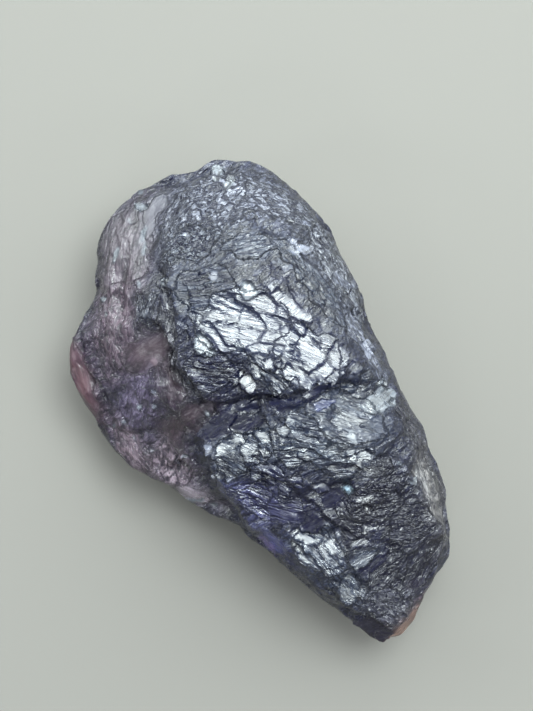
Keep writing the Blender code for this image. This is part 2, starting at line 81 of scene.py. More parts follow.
# Colours of the stone (linear). Most are its own; some hold painted light: glints, glows, sheen and warm
# light shining through or reflected, as noted below
TONES = {
    "slate": (0.018, 0.022, 0.07),
    "steel": (0.062, 0.08, 0.12),
    "ink": (0.008, 0.009, 0.042),
    # lavender: a pale frosted colour, partly painted sheen on the crown, the right side and small flats
    "lavender": (0.275, 0.295, 0.395),
    # mauve, lilac, heather, dusk and shell, on the left side: partly the stone's own colour, partly a
    # painted warm reflection and glow of light from the left
    "mauve": (0.108, 0.068, 0.078),
    "lilac": (0.22, 0.145, 0.19),
    "heather": (0.56, 0.43, 0.52),
    "dusk": (0.26, 0.205, 0.34),
    "shell": (0.74, 0.63, 0.74),
    # rose: partly the stone's own colour, partly painted warm light shining through the thin left flange
    "rose": (0.18, 0.076, 0.088),
    "violet": (0.108, 0.111, 0.3),
    "dark violet": (0.034, 0.032, 0.092),
    "flint": (0.026, 0.023, 0.042),
    "coal": (0.012, 0.011, 0.021),
    # pearl: a pale colour on the right rim, partly painted sheen
    "pearl": (0.37, 0.39, 0.46),
    "periwinkle": (0.1, 0.12, 0.28),
    # blush and brown, on the left side: partly the stone's own colour, partly a painted warm reflection
    "blush": (0.32, 0.225, 0.275),
    "brown": (0.092, 0.056, 0.066),
    "smoke": (0.19, 0.152, 0.178),
    "haze": (0.14, 0.138, 0.17),
    # amber: painted warm light shining through the tip
    "amber": (0.62, 0.35, 0.26),
    "ash": (0.38, 0.355, 0.345),
    # this pale tone: painted faint glints on small flats
    "frost": (0.19, 0.215, 0.26),
    # glint: painted glints on flats
    "glint": (0.42, 0.46, 0.52),
    "blue steel": (0.038, 0.048, 0.092),
    # glow and glow violet: painted light glowing in the stone, a bright blue spot and a violet patch
    "glow": (0.56, 0.8, 1),
    "glow violet": (0.13, 0.1, 0.26),
}

# A patch of the surface: its middle, its half length and half width, the way its grain runs in
# degrees from +X, the strands' spacing and height, the plates' length and width, their tilt in
# degrees and the share of their turn towards the main light's mirror, how much the fine dark
# lines, curls and streaks show (with the painted shade of the lines and grooves and the painted
# sheen of the curls and streaks), its tone and its roughness
Patch = namedtuple("Patch", "place reach turn strands plates tilt flash marks tone rough")
PATCHES = [Patch(*row) for row in (
    ((5.5, 18.6), (5.5, 3.6), 15, (0.7, 0.06), (0.9, 0.7), 9, 0.1, (0.2, 1.3, 0.4), "lavender", 0.34),
    ((11, 15.6), (4.4, 2), -55, (0.7, 0.05), (1.4, 1), 8, 0, (0.2, 1.1, 0.5), "lavender", 0.36),
    ((-2.6, 19.8), (4.8, 3.2), 52, (0.9, 0.05), (2.2, 0.8), 8, 0, (0, 0.2, 0.5), "smoke", 0.36),
    ((0.9, 20.2), (2.6, 0.9), 52, (0.9, 0.01), (3, 2), 2, 0, (0, 0, 0.1), "haze", 0.4),
    ((-7.2, 14.4), (5, 2.8), 40, (0.9, 0.05), (1.2, 0.8), 7, 0, (0, 0.4, 0.4), "lilac", 0.32),
    ((-4.2, 14), (1.6, 1.2), 40, (0.6, 0.06), (1.2, 0.8), 11, 0, (0, 1, 0.4), "steel", 0.3),
    ((-3.3, 10.6), (5.2, 0.7), 74, (0.5, 0.06), (1, 0.6), 10, 0.1, (0.3, 0.9, 0.5), "haze", 0.28),
    ((-5.9, 10.7), (3.2, 1.7), 0, (1, 0.01), (3, 2), 2, 0, (0, 0.1, 0.1), "mauve", 0.4),
    ((-12.6, 12.2), (3.8, 1.4), 72, (0.9, 0.02), (2, 1), 5, 0, (0, 0, 0.2), "rose", 0.5),
    ((-9.2, 7.3), (3.2, 1.8), 20, (0.6, 0.04), (1.2, 0.9), 7, 0, (0.1, 0.45, 0.2), "dusk", 0.22),
    ((-5.5, 7.2), (2.6, 1.5), 60, (0.8, 0.03), (2, 1.2), 6, 0, (0, 0.2, 0.2), "brown", 0.3),
    ((-5.4, 3.6), (2.2, 1.2), 10, (0.8, 0.03), (2, 1.2), 5, 0, (0, 0.2, 0.2), "brown", 0.34),
    ((-12.2, 4.2), (3, 1.6), 80, (0.6, 0.05), (1, 0.7), 6, 0, (0, 0.4, 0.2), "blush", 0.3),
    ((-8, 3.4), (2, 1.8), 20, (0.8, 0.03), (2, 1.2), 5, 0, (0, 0.2, 0.2), "brown", 0.3),
    ((-9.9, 0.9), (2.4, 2), 50, (0.5, 0.05), (0.8, 0.6), 8, 0.1, (0, 0.6, 0.3), "heather", 0.24),
    ((-9.7, -2.5), (2.1, 1.2), -50, (0.8, 0.02), (1.5, 0.8), 5, 0, (0, 0.1, 0.2), "shell", 0.28),
    ((2.9, 16.4), (3, 1.8), -20, (0.5, 0.08), (0.8, 0.5), 13, 0.1, (0.1, 1.3, 0.4), "steel", 0.28),
    ((1.2, 12.4), (2.4, 2.2), -33, (0.42, 0.07), (1.4, 0.5), 7, 0.4, (0.5, 0.3, 1.5), "steel", 0.26),
    ((6.8, 13.2), (2.2, 1.3), -12, (0.42, 0.06), (2.2, 0.7), 7, 0.45, (0.5, 0.2, 1.5), "steel", 0.28),
    ((2.5, 8.2), (4.6, 3), -46, (0.38, 0.04), (2, 0.7), 3.5, 1, (0.4, 0.1, 0.9), "blue steel", 0.22),
    ((5.8, 2.9), (3.2, 2.4), -58, (0.38, 0.04), (1.8, 0.7), 3.5, 1, (0.4, 0.1, 0.9), "blue steel", 0.22),
    ((9.6, 8.2), (5.5, 1.2), -80, (0.6, 0.05), (1.4, 0.8), 8, 0.2, (0.5, 0.8, 0.8), "steel", 0.32),
    ((12.2, 8), (5.5, 2.2), -80, (0.6, 0.06), (1.2, 0.7), 12, 0.3, (0.5, 1, 1), "pearl", 0.3),
    ((10.4, 0.6), (4.4, 1.4), -80, (0.5, 0.05), (1.2, 0.5), 10, 0.3, (0.5, 0.6, 1), "lavender", 0.28),
    ((-2.1, 6), (2.6, 1.9), -35, (0.5, 0.08), (1.4, 0.5), 12, 0.5, (0.6, 0.5, 0.9), "slate", 0.22),
    ((2, 0.4), (1.8, 0.7), -10, (0.5, 0.04), (1.4, 0.6), 6, -0.5, (0.2, 0.2, 0.4), "slate", 0.24),
    ((1.9, 3), (2.2, 1.4), -72, (0.4, 0.1), (1.1, 0.35), 10, 0.7, (0.6, 0.2, 1.2), "steel", 0.24),
    ((5.2, -0.5), (2, 0.6), -16, (0.4, 0.05), (1.2, 0.4), 8, -0.5, (0.4, 0.2, 0.6), "slate", 0.28),
    ((8.2, -2.2), (2.4, 0.9), -26, (0.4, 0.06), (1.2, 0.4), 10, 0.5, (0.5, 0.3, 0.9), "steel", 0.26),
    ((-4.8, -1), (1.5, 2), -58, (0.45, 0.1), (1.8, 0.45), 9, 0.75, (0.5, 0.3, 1.2), "steel", 0.22),
    ((-2.2, -1.5), (1.5, 1.8), -50, (0.45, 0.1), (1.8, 0.45), 9, 0.75, (0.5, 0.3, 1.2), "steel", 0.22),
    ((5.6, -3.6), (3.8, 2.4), -50, (0.42, 0.04), (1.6, 0.6), 9, 0.1, (0.7, 0.1, 0.9), "steel", 0.33),
    ((1, -3.2), (2.6, 2), -34, (0.5, 0.11), (1.8, 0.5), 8, 0.7, (0.7, 0.1, 1.3), "steel", 0.24),
    ((-2.4, -4.8), (2.6, 1.3), -58, (0.5, 0.12), (2, 0.4), 9, 0.6, (0.6, 0.1, 1.3), "slate", 0.22),
    ((3.4, -6.8), (2.6, 1.4), -30, (0.5, 0.08), (1.4, 0.6), 9, 0.7, (0.5, 0.4, 0.9), "steel", 0.26),
    ((-4.9, -5.8), (2.4, 1.4), -52, (0.6, 0.05), (2.2, 0.8), 8, 0.35, (0.5, 0.3, 1.3), "violet", 0.24),
    ((-3.4, -7.8), (2.2, 1.3), -42, (0.8, 0.02), (2.6, 1.4), 4, 0, (0.3, 0.1, 0.9), "dark violet", 0.24),
    ((-5.6, -9.6), (2.2, 0.9), -80, (0.8, 0.02), (2.2, 1), 3, 0, (0, 0, 0.2), "violet", 0.26),
    ((5.6, -8.9), (1.8, 1), -40, (0.5, 0.06), (1.2, 0.5), 9, 0, (0.4, 0.6, 0.6), "coal", 0.26),
    ((3.6, -11.6), (3, 2), -40, (0.6, 0.06), (1.4, 0.9), 9, 0.2, (0.4, 0.8, 0.3), "coal", 0.22),
    ((5.6, -15), (2.6, 2), -40, (0.5, 0.05), (1.2, 0.6), 9, 0.1, (0.4, 0.9, 0.3), "coal", 0.25),
    ((0.6, -12), (1.6, 1), -55, (0.6, 0.04), (1.6, 0.8), 6, -0.2, (0.2, 0.5, 0.4), "coal", 0.26),
    ((-2.8, -12.6), (2.6, 1.6), -72, (0.5, 0.07), (1.1, 0.6), 10, 0.6, (0.3, 0.3, 0.9), "steel", 0.24),
    ((-2.4, -16.8), (2, 1.2), -76, (0.5, 0.05), (1.2, 0.7), 9, 0.4, (0.2, 0.5, 0.6), "steel", 0.26),
    ((1.2, -17.4), (2.4, 1.4), 5, (0.5, 0.07), (1.2, 0.5), 8, -0.2, (0.4, 0.8, 0.4), "coal", 0.24),
    ((0.2, -15.2), (1.4, 0.8), -10, (0.5, 0.07), (1.2, 0.5), 9, 0.5, (0.4, 0.3, 1), "steel", 0.26),
    ((8.7, -13.4), (4.8, 1.4), -86, (0.8, 0.03), (2.6, 1), 5, 0, (0.1, 0.5, 0.5), "ash", 0.34),
    ((9.4, -7.6), (3, 1.3), -70, (0.5, 0.06), (1.4, 0.6), 10, 0.1, (0.3, 0.8, 0.4), "flint", 0.26),
    ((4.6, -18.8), (2.8, 1.5), 20, (0.6, 0.05), (1.4, 0.8), 8, -0.2, (0.2, 0.4, 0.7), "coal", 0.26),
    ((-0.2, -20.4), (2.4, 1.6), -66, (0.45, 0.07), (0.8, 0.5), 10, 0.2, (0.3, 0.9, 0.4), "haze", 0.28),
    ((-0.6, -23.3), (2.6, 1.4), 10, (0.6, 0.02), (1.2, 0.8), 5, 0, (0, 0.1, 0.3), "amber", 0.34),
)]
ELSEWHERE = Patch((0.0, 0.0), (9.9, 9.9), 0, (0.8, 0.07), (1.6, 1.1), 9, 0.0, (0.2, 0.5, 0.7), "slate", 0.30)

ALL_PATCHES = [*PATCHES, ELSEWHERE]
PLAIN_FRAME = (np.zeros(3), *np.eye(3))

# How strongly the rest of the surface holds against the patches, a patch's half depth, how fast
# it fades at its edge, and how far the edge wavers, over what length and from which seeds
ELSEWHERE_SHARE = 0.05
PATCH_DEPTH = 3.0
PATCH_EDGE = 3.0
PATCH_WAVER = (0.9, 1.6, (3.1, 17.9, 29.4))

# A patch's middle is taken over this reach, or over the nearest ground that looks up and this
# much more, and a patch leaves out what looks this far away from it
MIDDLE_REACH = 0.8
MIDDLE_MORE = 0.5
LOOKING_AWAY = -0.2

# The number of the first flat, after those of the patches and the rest of the surface
FIRST_FLAT = len(ALL_PATCHES)

# Fracture flats: the corners in plan, as x and y in turn, how squarely they mirror the main
# light, or below 0 how far they turn away from it, and their tone where they have one, which on
# many small bright flats is a painted glint or glow
FLATS = [
    ([-0.6, 9.6, -0.1, 9.7, 0.7, 9.1, 1.4, 8.7, 1.9, 8.3, 1.7, 7.6, 1.2, 7.1, -0.2, 7.2, -0.5, 8.2], 1),
    ([-1.9, 8.6, -1.6, 9.1, -1.1, 9.3, -0.8, 8.7, -0.7, 8, -1.3, 7.8, -1.9, 8], 0.9, "frost"),
    ([-1.8, 7.6, -1.2, 7.6, -0.7, 7.5, -0.8, 7, -1.3, 7.2], 0.9, "frost"),
    ([1.7, 6.9, 2.4, 7.4, 3.1, 6.9, 3.7, 6.3, 4.6, 5.8, 5, 5.2, 4.4, 4.5, 3.4, 4.2, 2.3, 4.9, 1.7, 5.6], 1),
    ([2.2, 8, 2.8, 8.5, 3.4, 8.9, 3.6, 8.4, 3.8, 7.6, 4, 7, 3.9, 6.4, 3.3, 6.9, 2.8, 7.4], 1),
    ([3.8, 9.9, 4, 10.4, 4.5, 10.9, 5, 10.5, 5, 9.6, 4.5, 9.4, 4, 9.6], 1, "glint"),
    ([4.1, 9.3, 4.8, 9.3, 5.6, 9, 5.9, 8.3, 5.7, 7.6, 5, 7.2, 4.5, 7.7, 4.2, 8.3], 0.95),
    ([4.2, 7.9, 4.7, 7.2, 5.2, 6.7, 5, 6, 4.3, 6.1, 4.2, 6.8], 0.95),
    ([6, 8.5, 6.5, 8.8, 6.9, 8.6, 7.1, 7.6, 7.4, 6.8, 7.6, 5.6, 7.5, 5.1, 7.1, 5.2, 6.7, 6, 6.3, 7], 1),
    ([6, 5.8, 6.4, 6.2, 6.7, 5.6, 6.8, 4.8, 6.5, 4.4, 6.2, 4.6], 0.95),
    ([5, 5.7, 5.6, 5.6, 5.9, 5, 5.9, 4.4, 5.2, 4.2, 4.9, 4.6], 0.95),
    ([-1.7, 11.4, -1.6, 12.3, -1.1, 13.4, -1, 14.3, -0.4, 14.8, 0.1, 14.2, 0.2, 13.4, -0.2, 12.3,
      -0.6, 11.3], 0.6),
    ([-1.5, 14.5, -1.2, 15, -0.8, 15, -0.9, 14.5], 1, "frost"),
    ([8.4, 13.1, 8.6, 13.2, 8.9, 12.4, 8.8, 11.9, 8.5, 12.2], 0.5, "lavender"),
    ([9.8, 11.8, 10.2, 11.9, 10.6, 11, 10.9, 10.2, 10.5, 10.1, 10.1, 10.9], 0.7, "lavender"),
    ([9.4, 11.3, 9.7, 11.4, 10.1, 10.6, 9.8, 10.3], 0.8, "lavender"),
    ([11.7, 12.9, 12.1, 12.9, 12.6, 12.2, 12.2, 12], 0.3, "lavender"),
    ([11.4, 7.2, 11.9, 7.6, 12.3, 6.2, 12.5, 5.4, 12.1, 5.5, 11.5, 6.3], 0.3, "lavender"),
    ([6.1, 9.5, 6.6, 9.5, 6.5, 8.9, 6.1, 8.9], 0.95),
    ([2.2, 12.9, 2.9, 13.1, 3, 12.7, 2.5, 12.5], 0.9, "lavender"),
    ([-0.2, 10.1, 0.6, 10.4, 1.4, 10.2, 1.2, 9.5, 0.6, 9.5], 0.8),
    ([5.2, 3.9, 6, 3.6, 6.6, 3, 7, 2.4, 7, 1.6, 6.4, 1.3, 5.5, 1.5, 5.3, 2.5], 1),
    ([5.1, 1.2, 6, 1.2, 6.9, 1.3, 7.1, 0.6, 6.6, 0.2, 5.6, 0.3, 5, 0.6], 0.85),
    ([7.2, 1.7, 8, 2, 8.5, 2.3, 8.7, 1.5, 8.5, 0.6, 7.9, 0.2, 7.3, 0.2, 7.1, 1], 0.8),
    ([6.6, 0, 7.6, 0.1, 7.6, -0.4, 7.1, -0.4], 1),
    ([8.2, -0.1, 8.9, 0, 9.1, -0.9, 8.4, -0.9], 0.7),
    ([10.4, 0.9, 11, 1, 11, -0.3, 10.5, -0.2], 0.4, "lavender"),
    ([4.1, 1.6, 4.6, 1.9, 4.7, 1.2, 4.9, 0.7, 4.2, 0.5, 3.9, 0.9], 0.95),
    ([1.9, 5.2, 2.6, 4.7, 3, 4, 2.6, 3.4, 2, 3.8, 1.8, 4.5], 0.9),
    ([0.9, 4.6, 1.4, 4.7, 1.6, 4, 1.3, 3.4, 0.9, 3.7], 0.85),
    ([3.2, 4.9, 4, 4.2, 3.9, 3.9, 3.3, 3.9], 0.85),
    ([3.1, 3.5, 3.5, 3.4, 3.6, 3, 3.1, 3], 1),
    ([3.2, 2.7, 3.8, 2.9, 4.1, 2.5, 4.1, 1.9, 3.6, 1.6, 3.2, 1.8], 1),
    ([3.2, 1.5, 3.8, 1.6, 3.9, 1.2, 3.6, 1], 0.95),
    ([-0.4, 3.3, -0.3, 4.3, 0.2, 4.6, 0.5, 3.9, 0.7, 3, 0.3, 2.6, -0.1, 2.7], 0.95),
    ([-6.1, 0.9, -5.5, 0.6, -5.7, 0.2, -6.4, 0.1], 0.8, "lavender"),
    ([-5.9, -0.1, -5, 0.3, -4.4, 0.2, -4.2, -0.4, -4.9, -0.7, -5.9, -0.5], 0.9),
    ([-4.1, 0.2, -3.2, 0.1, -2.5, -0.3, -2.8, -0.7, -3.8, -0.4], 0.9),
    ([-3.9, -0.9, -3.2, -1.1, -2.4, -1.2, -2.2, -1.8, -3.4, -1.9], 0.95),
    ([-1.8, -0.7, -1.2, -0.9, -0.8, -1.2, -0.9, -1.8, -1.7, -1.6], 0.9),
    ([-6.9, -1.7, -6.4, -1.6, -6.4, -2.2, -6.8, -2.3], 0.8, "lavender"),
    ([-6.1, -2.6, -5.5, -2.6, -5.5, -2.9, -6.1, -2.9], 0.8, "lavender"),
    ([0.2, -1.2, 0.9, -1.4, 0.9, -2.1, 0.2, -2.2], 0.9),
    ([1.1, -0.9, 1.6, -0.9, 1.9, -1.6, 1.4, -1.7], 0.9),
    ([7.3, -3.7, 8.4, -3.5, 9.6, -3.3, 10.1, -4.2, 9.8, -5.2, 8.5, -4.9, 7.6, -4.4], 0.7, "frost"),
    ([9.3, -2.7, 10.3, -2.7, 10.3, -3, 9.6, -3.1], 0.7, "frost"),
    ([4.7, -5.1, 5.2, -5, 5.5, -5.4, 5.3, -5.9, 5, -5.7], 1, "frost"),
    ([6.2, -5, 7.6, -5, 8.6, -5.4, 8.8, -6.4, 8.2, -6.9, 7, -6.4], 0.15),
    ([1.8, -4.6, 3.2, -4.4, 3.8, -5.2, 3.4, -6, 2.2, -5.8], 0.5, "steel"),
    ([4.3, -7.5, 5, -7, 5.5, -7.1, 5.8, -7.7, 5, -8.1, 4.4, -8], 0.95),
    ([4, -6.1, 4.9, -6.3, 4.6, -6.7, 4.1, -6.6], 0.9),
    ([4.3, -3.2, 5.6, -3, 6.6, -3.6, 6.5, -4.6, 5.4, -4.8, 4.5, -4.4], 0.2),
    ([-3.8, -9.9, -3.5, -9.7, -3, -10.6, -2.6, -11.2, -2, -11.6, -2.7, -11.9, -3.4, -11.3, -3.8, -10.6], 1),
    ([-3.6, -12.3, -3.2, -12.3, -3, -13, -3.1, -13.8, -3.5, -13.6], 0.6),
    ([-2.7, -12.3, -2.3, -12.3, -2.2, -13.5, -2.6, -13.7], 0.85),
    ([-2, -12.2, -1.1, -12.3, -1.3, -13.2, -1.9, -13.4], 0.75),
    ([-4.6, -11.6, -4.2, -12, -4, -12.8, -4.4, -12.8], 0.9),
    ([-1.8, -16, -1.5, -16.6, -1.7, -17.4, -2.4, -18, -3.1, -18, -3.3, -17.4, -3.1, -16.6, -2.4, -16], 0.7),
    ([-0.1, -13.7, 0.3, -13.5, 1.2, -13.7, 1.5, -14.3, 1.2, -14.6, 0.7, -14.3, 0.2, -14], 0.8),
    ([-0.9, -15, 0.3, -14.9, 1.1, -15.1, 1.2, -15.5, 0.2, -15.7, -0.7, -15.7], 0.8),
    ([1.7, -12.7, 2.1, -12.8, 2.6, -13.5, 2.3, -13.7, 1.8, -13.3], 1),
    ([2.2, -10.4, 3, -10.4, 3.9, -10.6, 3.8, -10.9, 2.9, -10.9], 0.85),
    ([2.6, -11.2, 2.9, -11.3, 3, -11.8, 2.7, -11.9], 0.9),
    ([0, -7.2, 0.7, -7.4, 1, -8, 0.4, -7.8, 0, -7.6], 0.9),
    ([7.3, -9.5, 7.6, -9.5, 7.6, -10.1, 7.3, -10.1], 0.6, "frost"),
    ([7.4, -11.4, 7.8, -11.8, 7.6, -12.5, 7.3, -12], 0.5, "frost"),
    ([7.3, 20.2, 7.6, 21.2, 8.1, 21.7, 8.7, 21.3, 8.8, 20.8, 8.2, 20.3, 7.7, 20.1], 0.4, "glint"),
    ([7.6, 19, 7.9, 19.4, 8.6, 19.9, 9, 19.6, 8.9, 19.1, 8.1, 18.9], 0.6, "glint"),
    ([6.6, 21.1, 7.2, 21.2, 7.1, 20.9], 0.7, "frost"),
    ([0, 22, 0.2, 22.6, 0.8, 22.3, 1.2, 21.7, 0.5, 21.6], 0.5, "frost"),
    ([-1.2, 21.2, -1.1, 21.7, -0.9, 21.6, -0.9, 21.2], 0.5, "frost"),
    ([1, 23.2, 1.2, 23.6, 1.6, 23.4, 1.4, 23.1], 0.3, "frost"),
    ([-1.7, 18.1, -1.2, 18.8, -0.8, 19, -0.9, 18.5, -1.4, 18], 0.6, "frost"),
    ([-1.2, 19.2, -0.6, 20, 0, 20.3, -0.2, 19.7, -0.8, 19.1], 0.4, "frost"),
    ([-4.4, 19.2, -3.6, 19.9, -3, 20, -3.5, 19.4, -4.2, 19], 0.3, "frost"),
    ([2.3, 17.4, 2.5, 17.6, 2.9, 17.2, 2.7, 17], 0.9, "lavender"),
    ([-7.1, 16.8, -6.8, 17.1, -6.5, 16.9, -6.8, 16.6], 0.6, "frost"),
    ([-7.4, 15.5, -7.3, 15.8, -7.1, 15.6, -7.2, 15.4], 0.6, "frost"),
    ([-3.5, 15.8, -3.3, 16.4, -3.1, 16.3, -3.2, 15.8], 0.7, "frost"),
    ([-6.2, 9.2, -6.1, 9.8, -5.7, 9.8, -5.6, 9.3, -5.9, 9.1], 0, "lilac"),
    ([-9.6, 6.8, -9.4, 7.1, -9, 7, -9.3, 6.7], 0.8, "frost"),
    ([-8.3, 6.2, -8.1, 6.5, -7.9, 6.1, -8.1, 6], 0.9, "frost"),
    ([-7.6, 7.2, -7.5, 7.5, -7.1, 7.3, -7.3, 7.1], 0.8, "lavender"),
    ([-12.6, 6.7, -12.5, 7, -12.2, 6.9, -12.4, 6.6], 0.6, "frost"),
    ([-11.6, 6.5, -11.5, 6.9, -11.2, 6.7, -11.3, 6.3], 0.6, "frost"),
    ([-2.4, 11, -2.2, 11.2, -1.5, 10.5, -1.7, 10.2, -2.1, 10.7], 0.6),
    ([-4.1, 6.2, -4, 6.6, -3.9, 6.6, -3.9, 6.1], 0.9, "frost"),
    ([-4.6, 3, -4.5, 3.3, -4.3, 3.3, -4.4, 2.9], 1, "frost"),
    ([-11.5, 4.7, -11.4, 5.1, -11.3, 5, -11.4, 4.6], 0.9, "frost"),
    ([-10.9, 3, -10.7, 3.2, -10.4, 3, -10.6, 2.9], 0.8, "frost"),
    ([-8.5, 1, -8.3, 1.2, -8, 0.9, -8.2, 0.8], 0.9, "frost"),
    ([-9.5, 0.8, -9.2, 1.3, -8.9, 1.4, -9.2, 0.9], 0.5, "frost"),
    ([-10.7, -2.3, -10.2, -2.6, -9.7, -3.1, -9.1, -3.2, -9.3, -3.6, -10.1, -3.2, -10.6, -2.8], 0.2, "frost"),
    ([-9.1, -3.9, -8.6, -4.1, -8.3, -4.4, -8.5, -4.6, -9, -4.2], 0.2, "frost"),
    ([2.1, -8.7, 2.5, -8.8, 2.7, -9.3, 2.4, -9.7, 2.1, -9.2], 0.6, "glow"),
    ([4, -1.1, 4.8, -1.3, 5.6, -1.9, 4.8, -2.1, 3.8, -1.8], -0.6, "periwinkle"),
    ([-7.2, -8.8, -6.3, -8.6, -5.9, -10, -6.4, -11.2, -7.1, -10.2], 0, "glow violet"),
    ([-6, 2, -5.3, 2.4, -4.2, 2.6, -3.2, 2.5, -2.4, 1.9, -1.5, 1.2, -0.7, 0.6, -0.2, 0.1, -0.9, -0.3,
      -1.7, -0.3, -2.6, 0.1, -4, 0.9, -5, 0.8, -6, 1.2], -0.5, "ink"),
    ([-2.8, 2.6, -1, 2.6, -0.6, 2.2, 0.1, 1.6, -0.2, 0.9, -0.6, 0.8, -1.4, 1.4, -2.2, 2], -0.3, "slate"),
    ([0.6, 0.9, 1.6, 0.8, 2.4, 0.4, 3.2, 0, 3.4, -0.6, 2, -0.5, 0.9, -0.4], -0.4, "slate"),
    ([3.8, 0.3, 4.8, 0.3, 5.8, -0.1, 6.3, -0.4, 5.2, -0.5, 4.2, -1, 3.4, -0.9], -0.4, "slate"),
    ([-2.4, 13.9, -1.3, 13.9, -1.7, 12.5, -2.5, 12.6], -0.4, "ink"),
    ([0, -8.3, 1.2, -8.4, 2, -8.9, 2, -9.9, 0.8, -10.1, -0.2, -9.8], -0.5, "ink"),
    ([-2.6, -8.6, -1.4, -8.9, -0.9, -10, -0.9, -10.8, -2, -11, -3.1, -9.9], -0.4, "ink"),
    ([-1, -15.9, 0.6, -16, 2.3, -15.7, 1.8, -16.6, -1, -16.9], -0.4, "ink"),
    ([-3.9, -20.1, -2.2, -20.2, -1.6, -21.3, -1.1, -23, -2.6, -22.9, -3.4, -21.8], -0.3, "flint"),
    ([2.4, -19.5, 3.6, -19.8, 3.8, -20.6, 2.6, -20.8, 1.8, -20.2], -0.3, "flint"),
    ([1, 6.9, 1.6, 6.9, 1.6, 6, 1.1, 6.2], 0.3, "steel"),
]
# The plates' length and width inside a bright and a dark flat, their tilt in degrees, from which
# squareness a flat is drawn larger, and by what share, the least that it looks up, and the share
# of the patch's relief that is left on it
FLAT_STRIPS = (3.0, 1.4)
DARK_PLATES = (3.0, 1.8)
FLAT_TILT = 1.6
BRIGHT_FROM = 0.7
BRIGHT_GROWTH = 0.19
FLAT_UPPER = 0.2
FLAT_RELIEF = 0.08

# How calm a flat is, from 0 to 1: a bright one at least this, or as square as it is, and a dark
# one this, and what share of its roughness the calmest place loses
LEAST_CALM = 0.5
DARK_CALM = 0.9
CALM_GLOSS = 0.25

# How far borders fray, over what length and from which seeds, how softly the patches' tones meet,
# and how many times the flats' own are softened
FRAY = (0.12, 0.5, (91.0, 97.0))
TONE_SOFTNESS = 0.45
COVER_ROUNDS = 4

# The plates' seed, how fully they are flattened, and how much more where they mirror the main
# light, the highest step between plates and between flats, and the least that a normal counts as
# facing the plate's way
PLATE_SEED = 11
PLATE_SHARE = 0.55
FLASH_SHARE = 0.45
DEEPEST_STEP = 0.16
FLAT_STEP = 0.5
LEAST_FACING = 0.4

# Patches that mirror the light are calm: from this share of a turn, and up to this much
CALM_FROM = 0.5
CALM_MOST = 0.8

# Patches that mirror it fully are brought into one plane: how fully, and the most they move
LEVEL_SHARE = 0.8
LEVEL_STEP = 0.6

# The share of the relief that is left on an upright side, and the normal's upward share from
# which all of it is
UPRIGHT_SHARE = 0.4
UPRIGHT_FADE = 0.5

# Low lumps all over: height, size and seed
LUMPS = [(0.05, 1.1, 5.0), (0.02, 0.4, 9.0)]

# Strands: how long, wide and deep their noise is, in spacings, how sharp their crests are, the
# weight from which a patch has them, and the steps between the patches' seeds and grains
STRAND_STRETCH = (5, 1, 3)
STRAND_SHARPNESS = 3
NEAR_WEIGHT = 0.02
STRAND_SEED = 13.7
GRAIN_STEP = 7.3
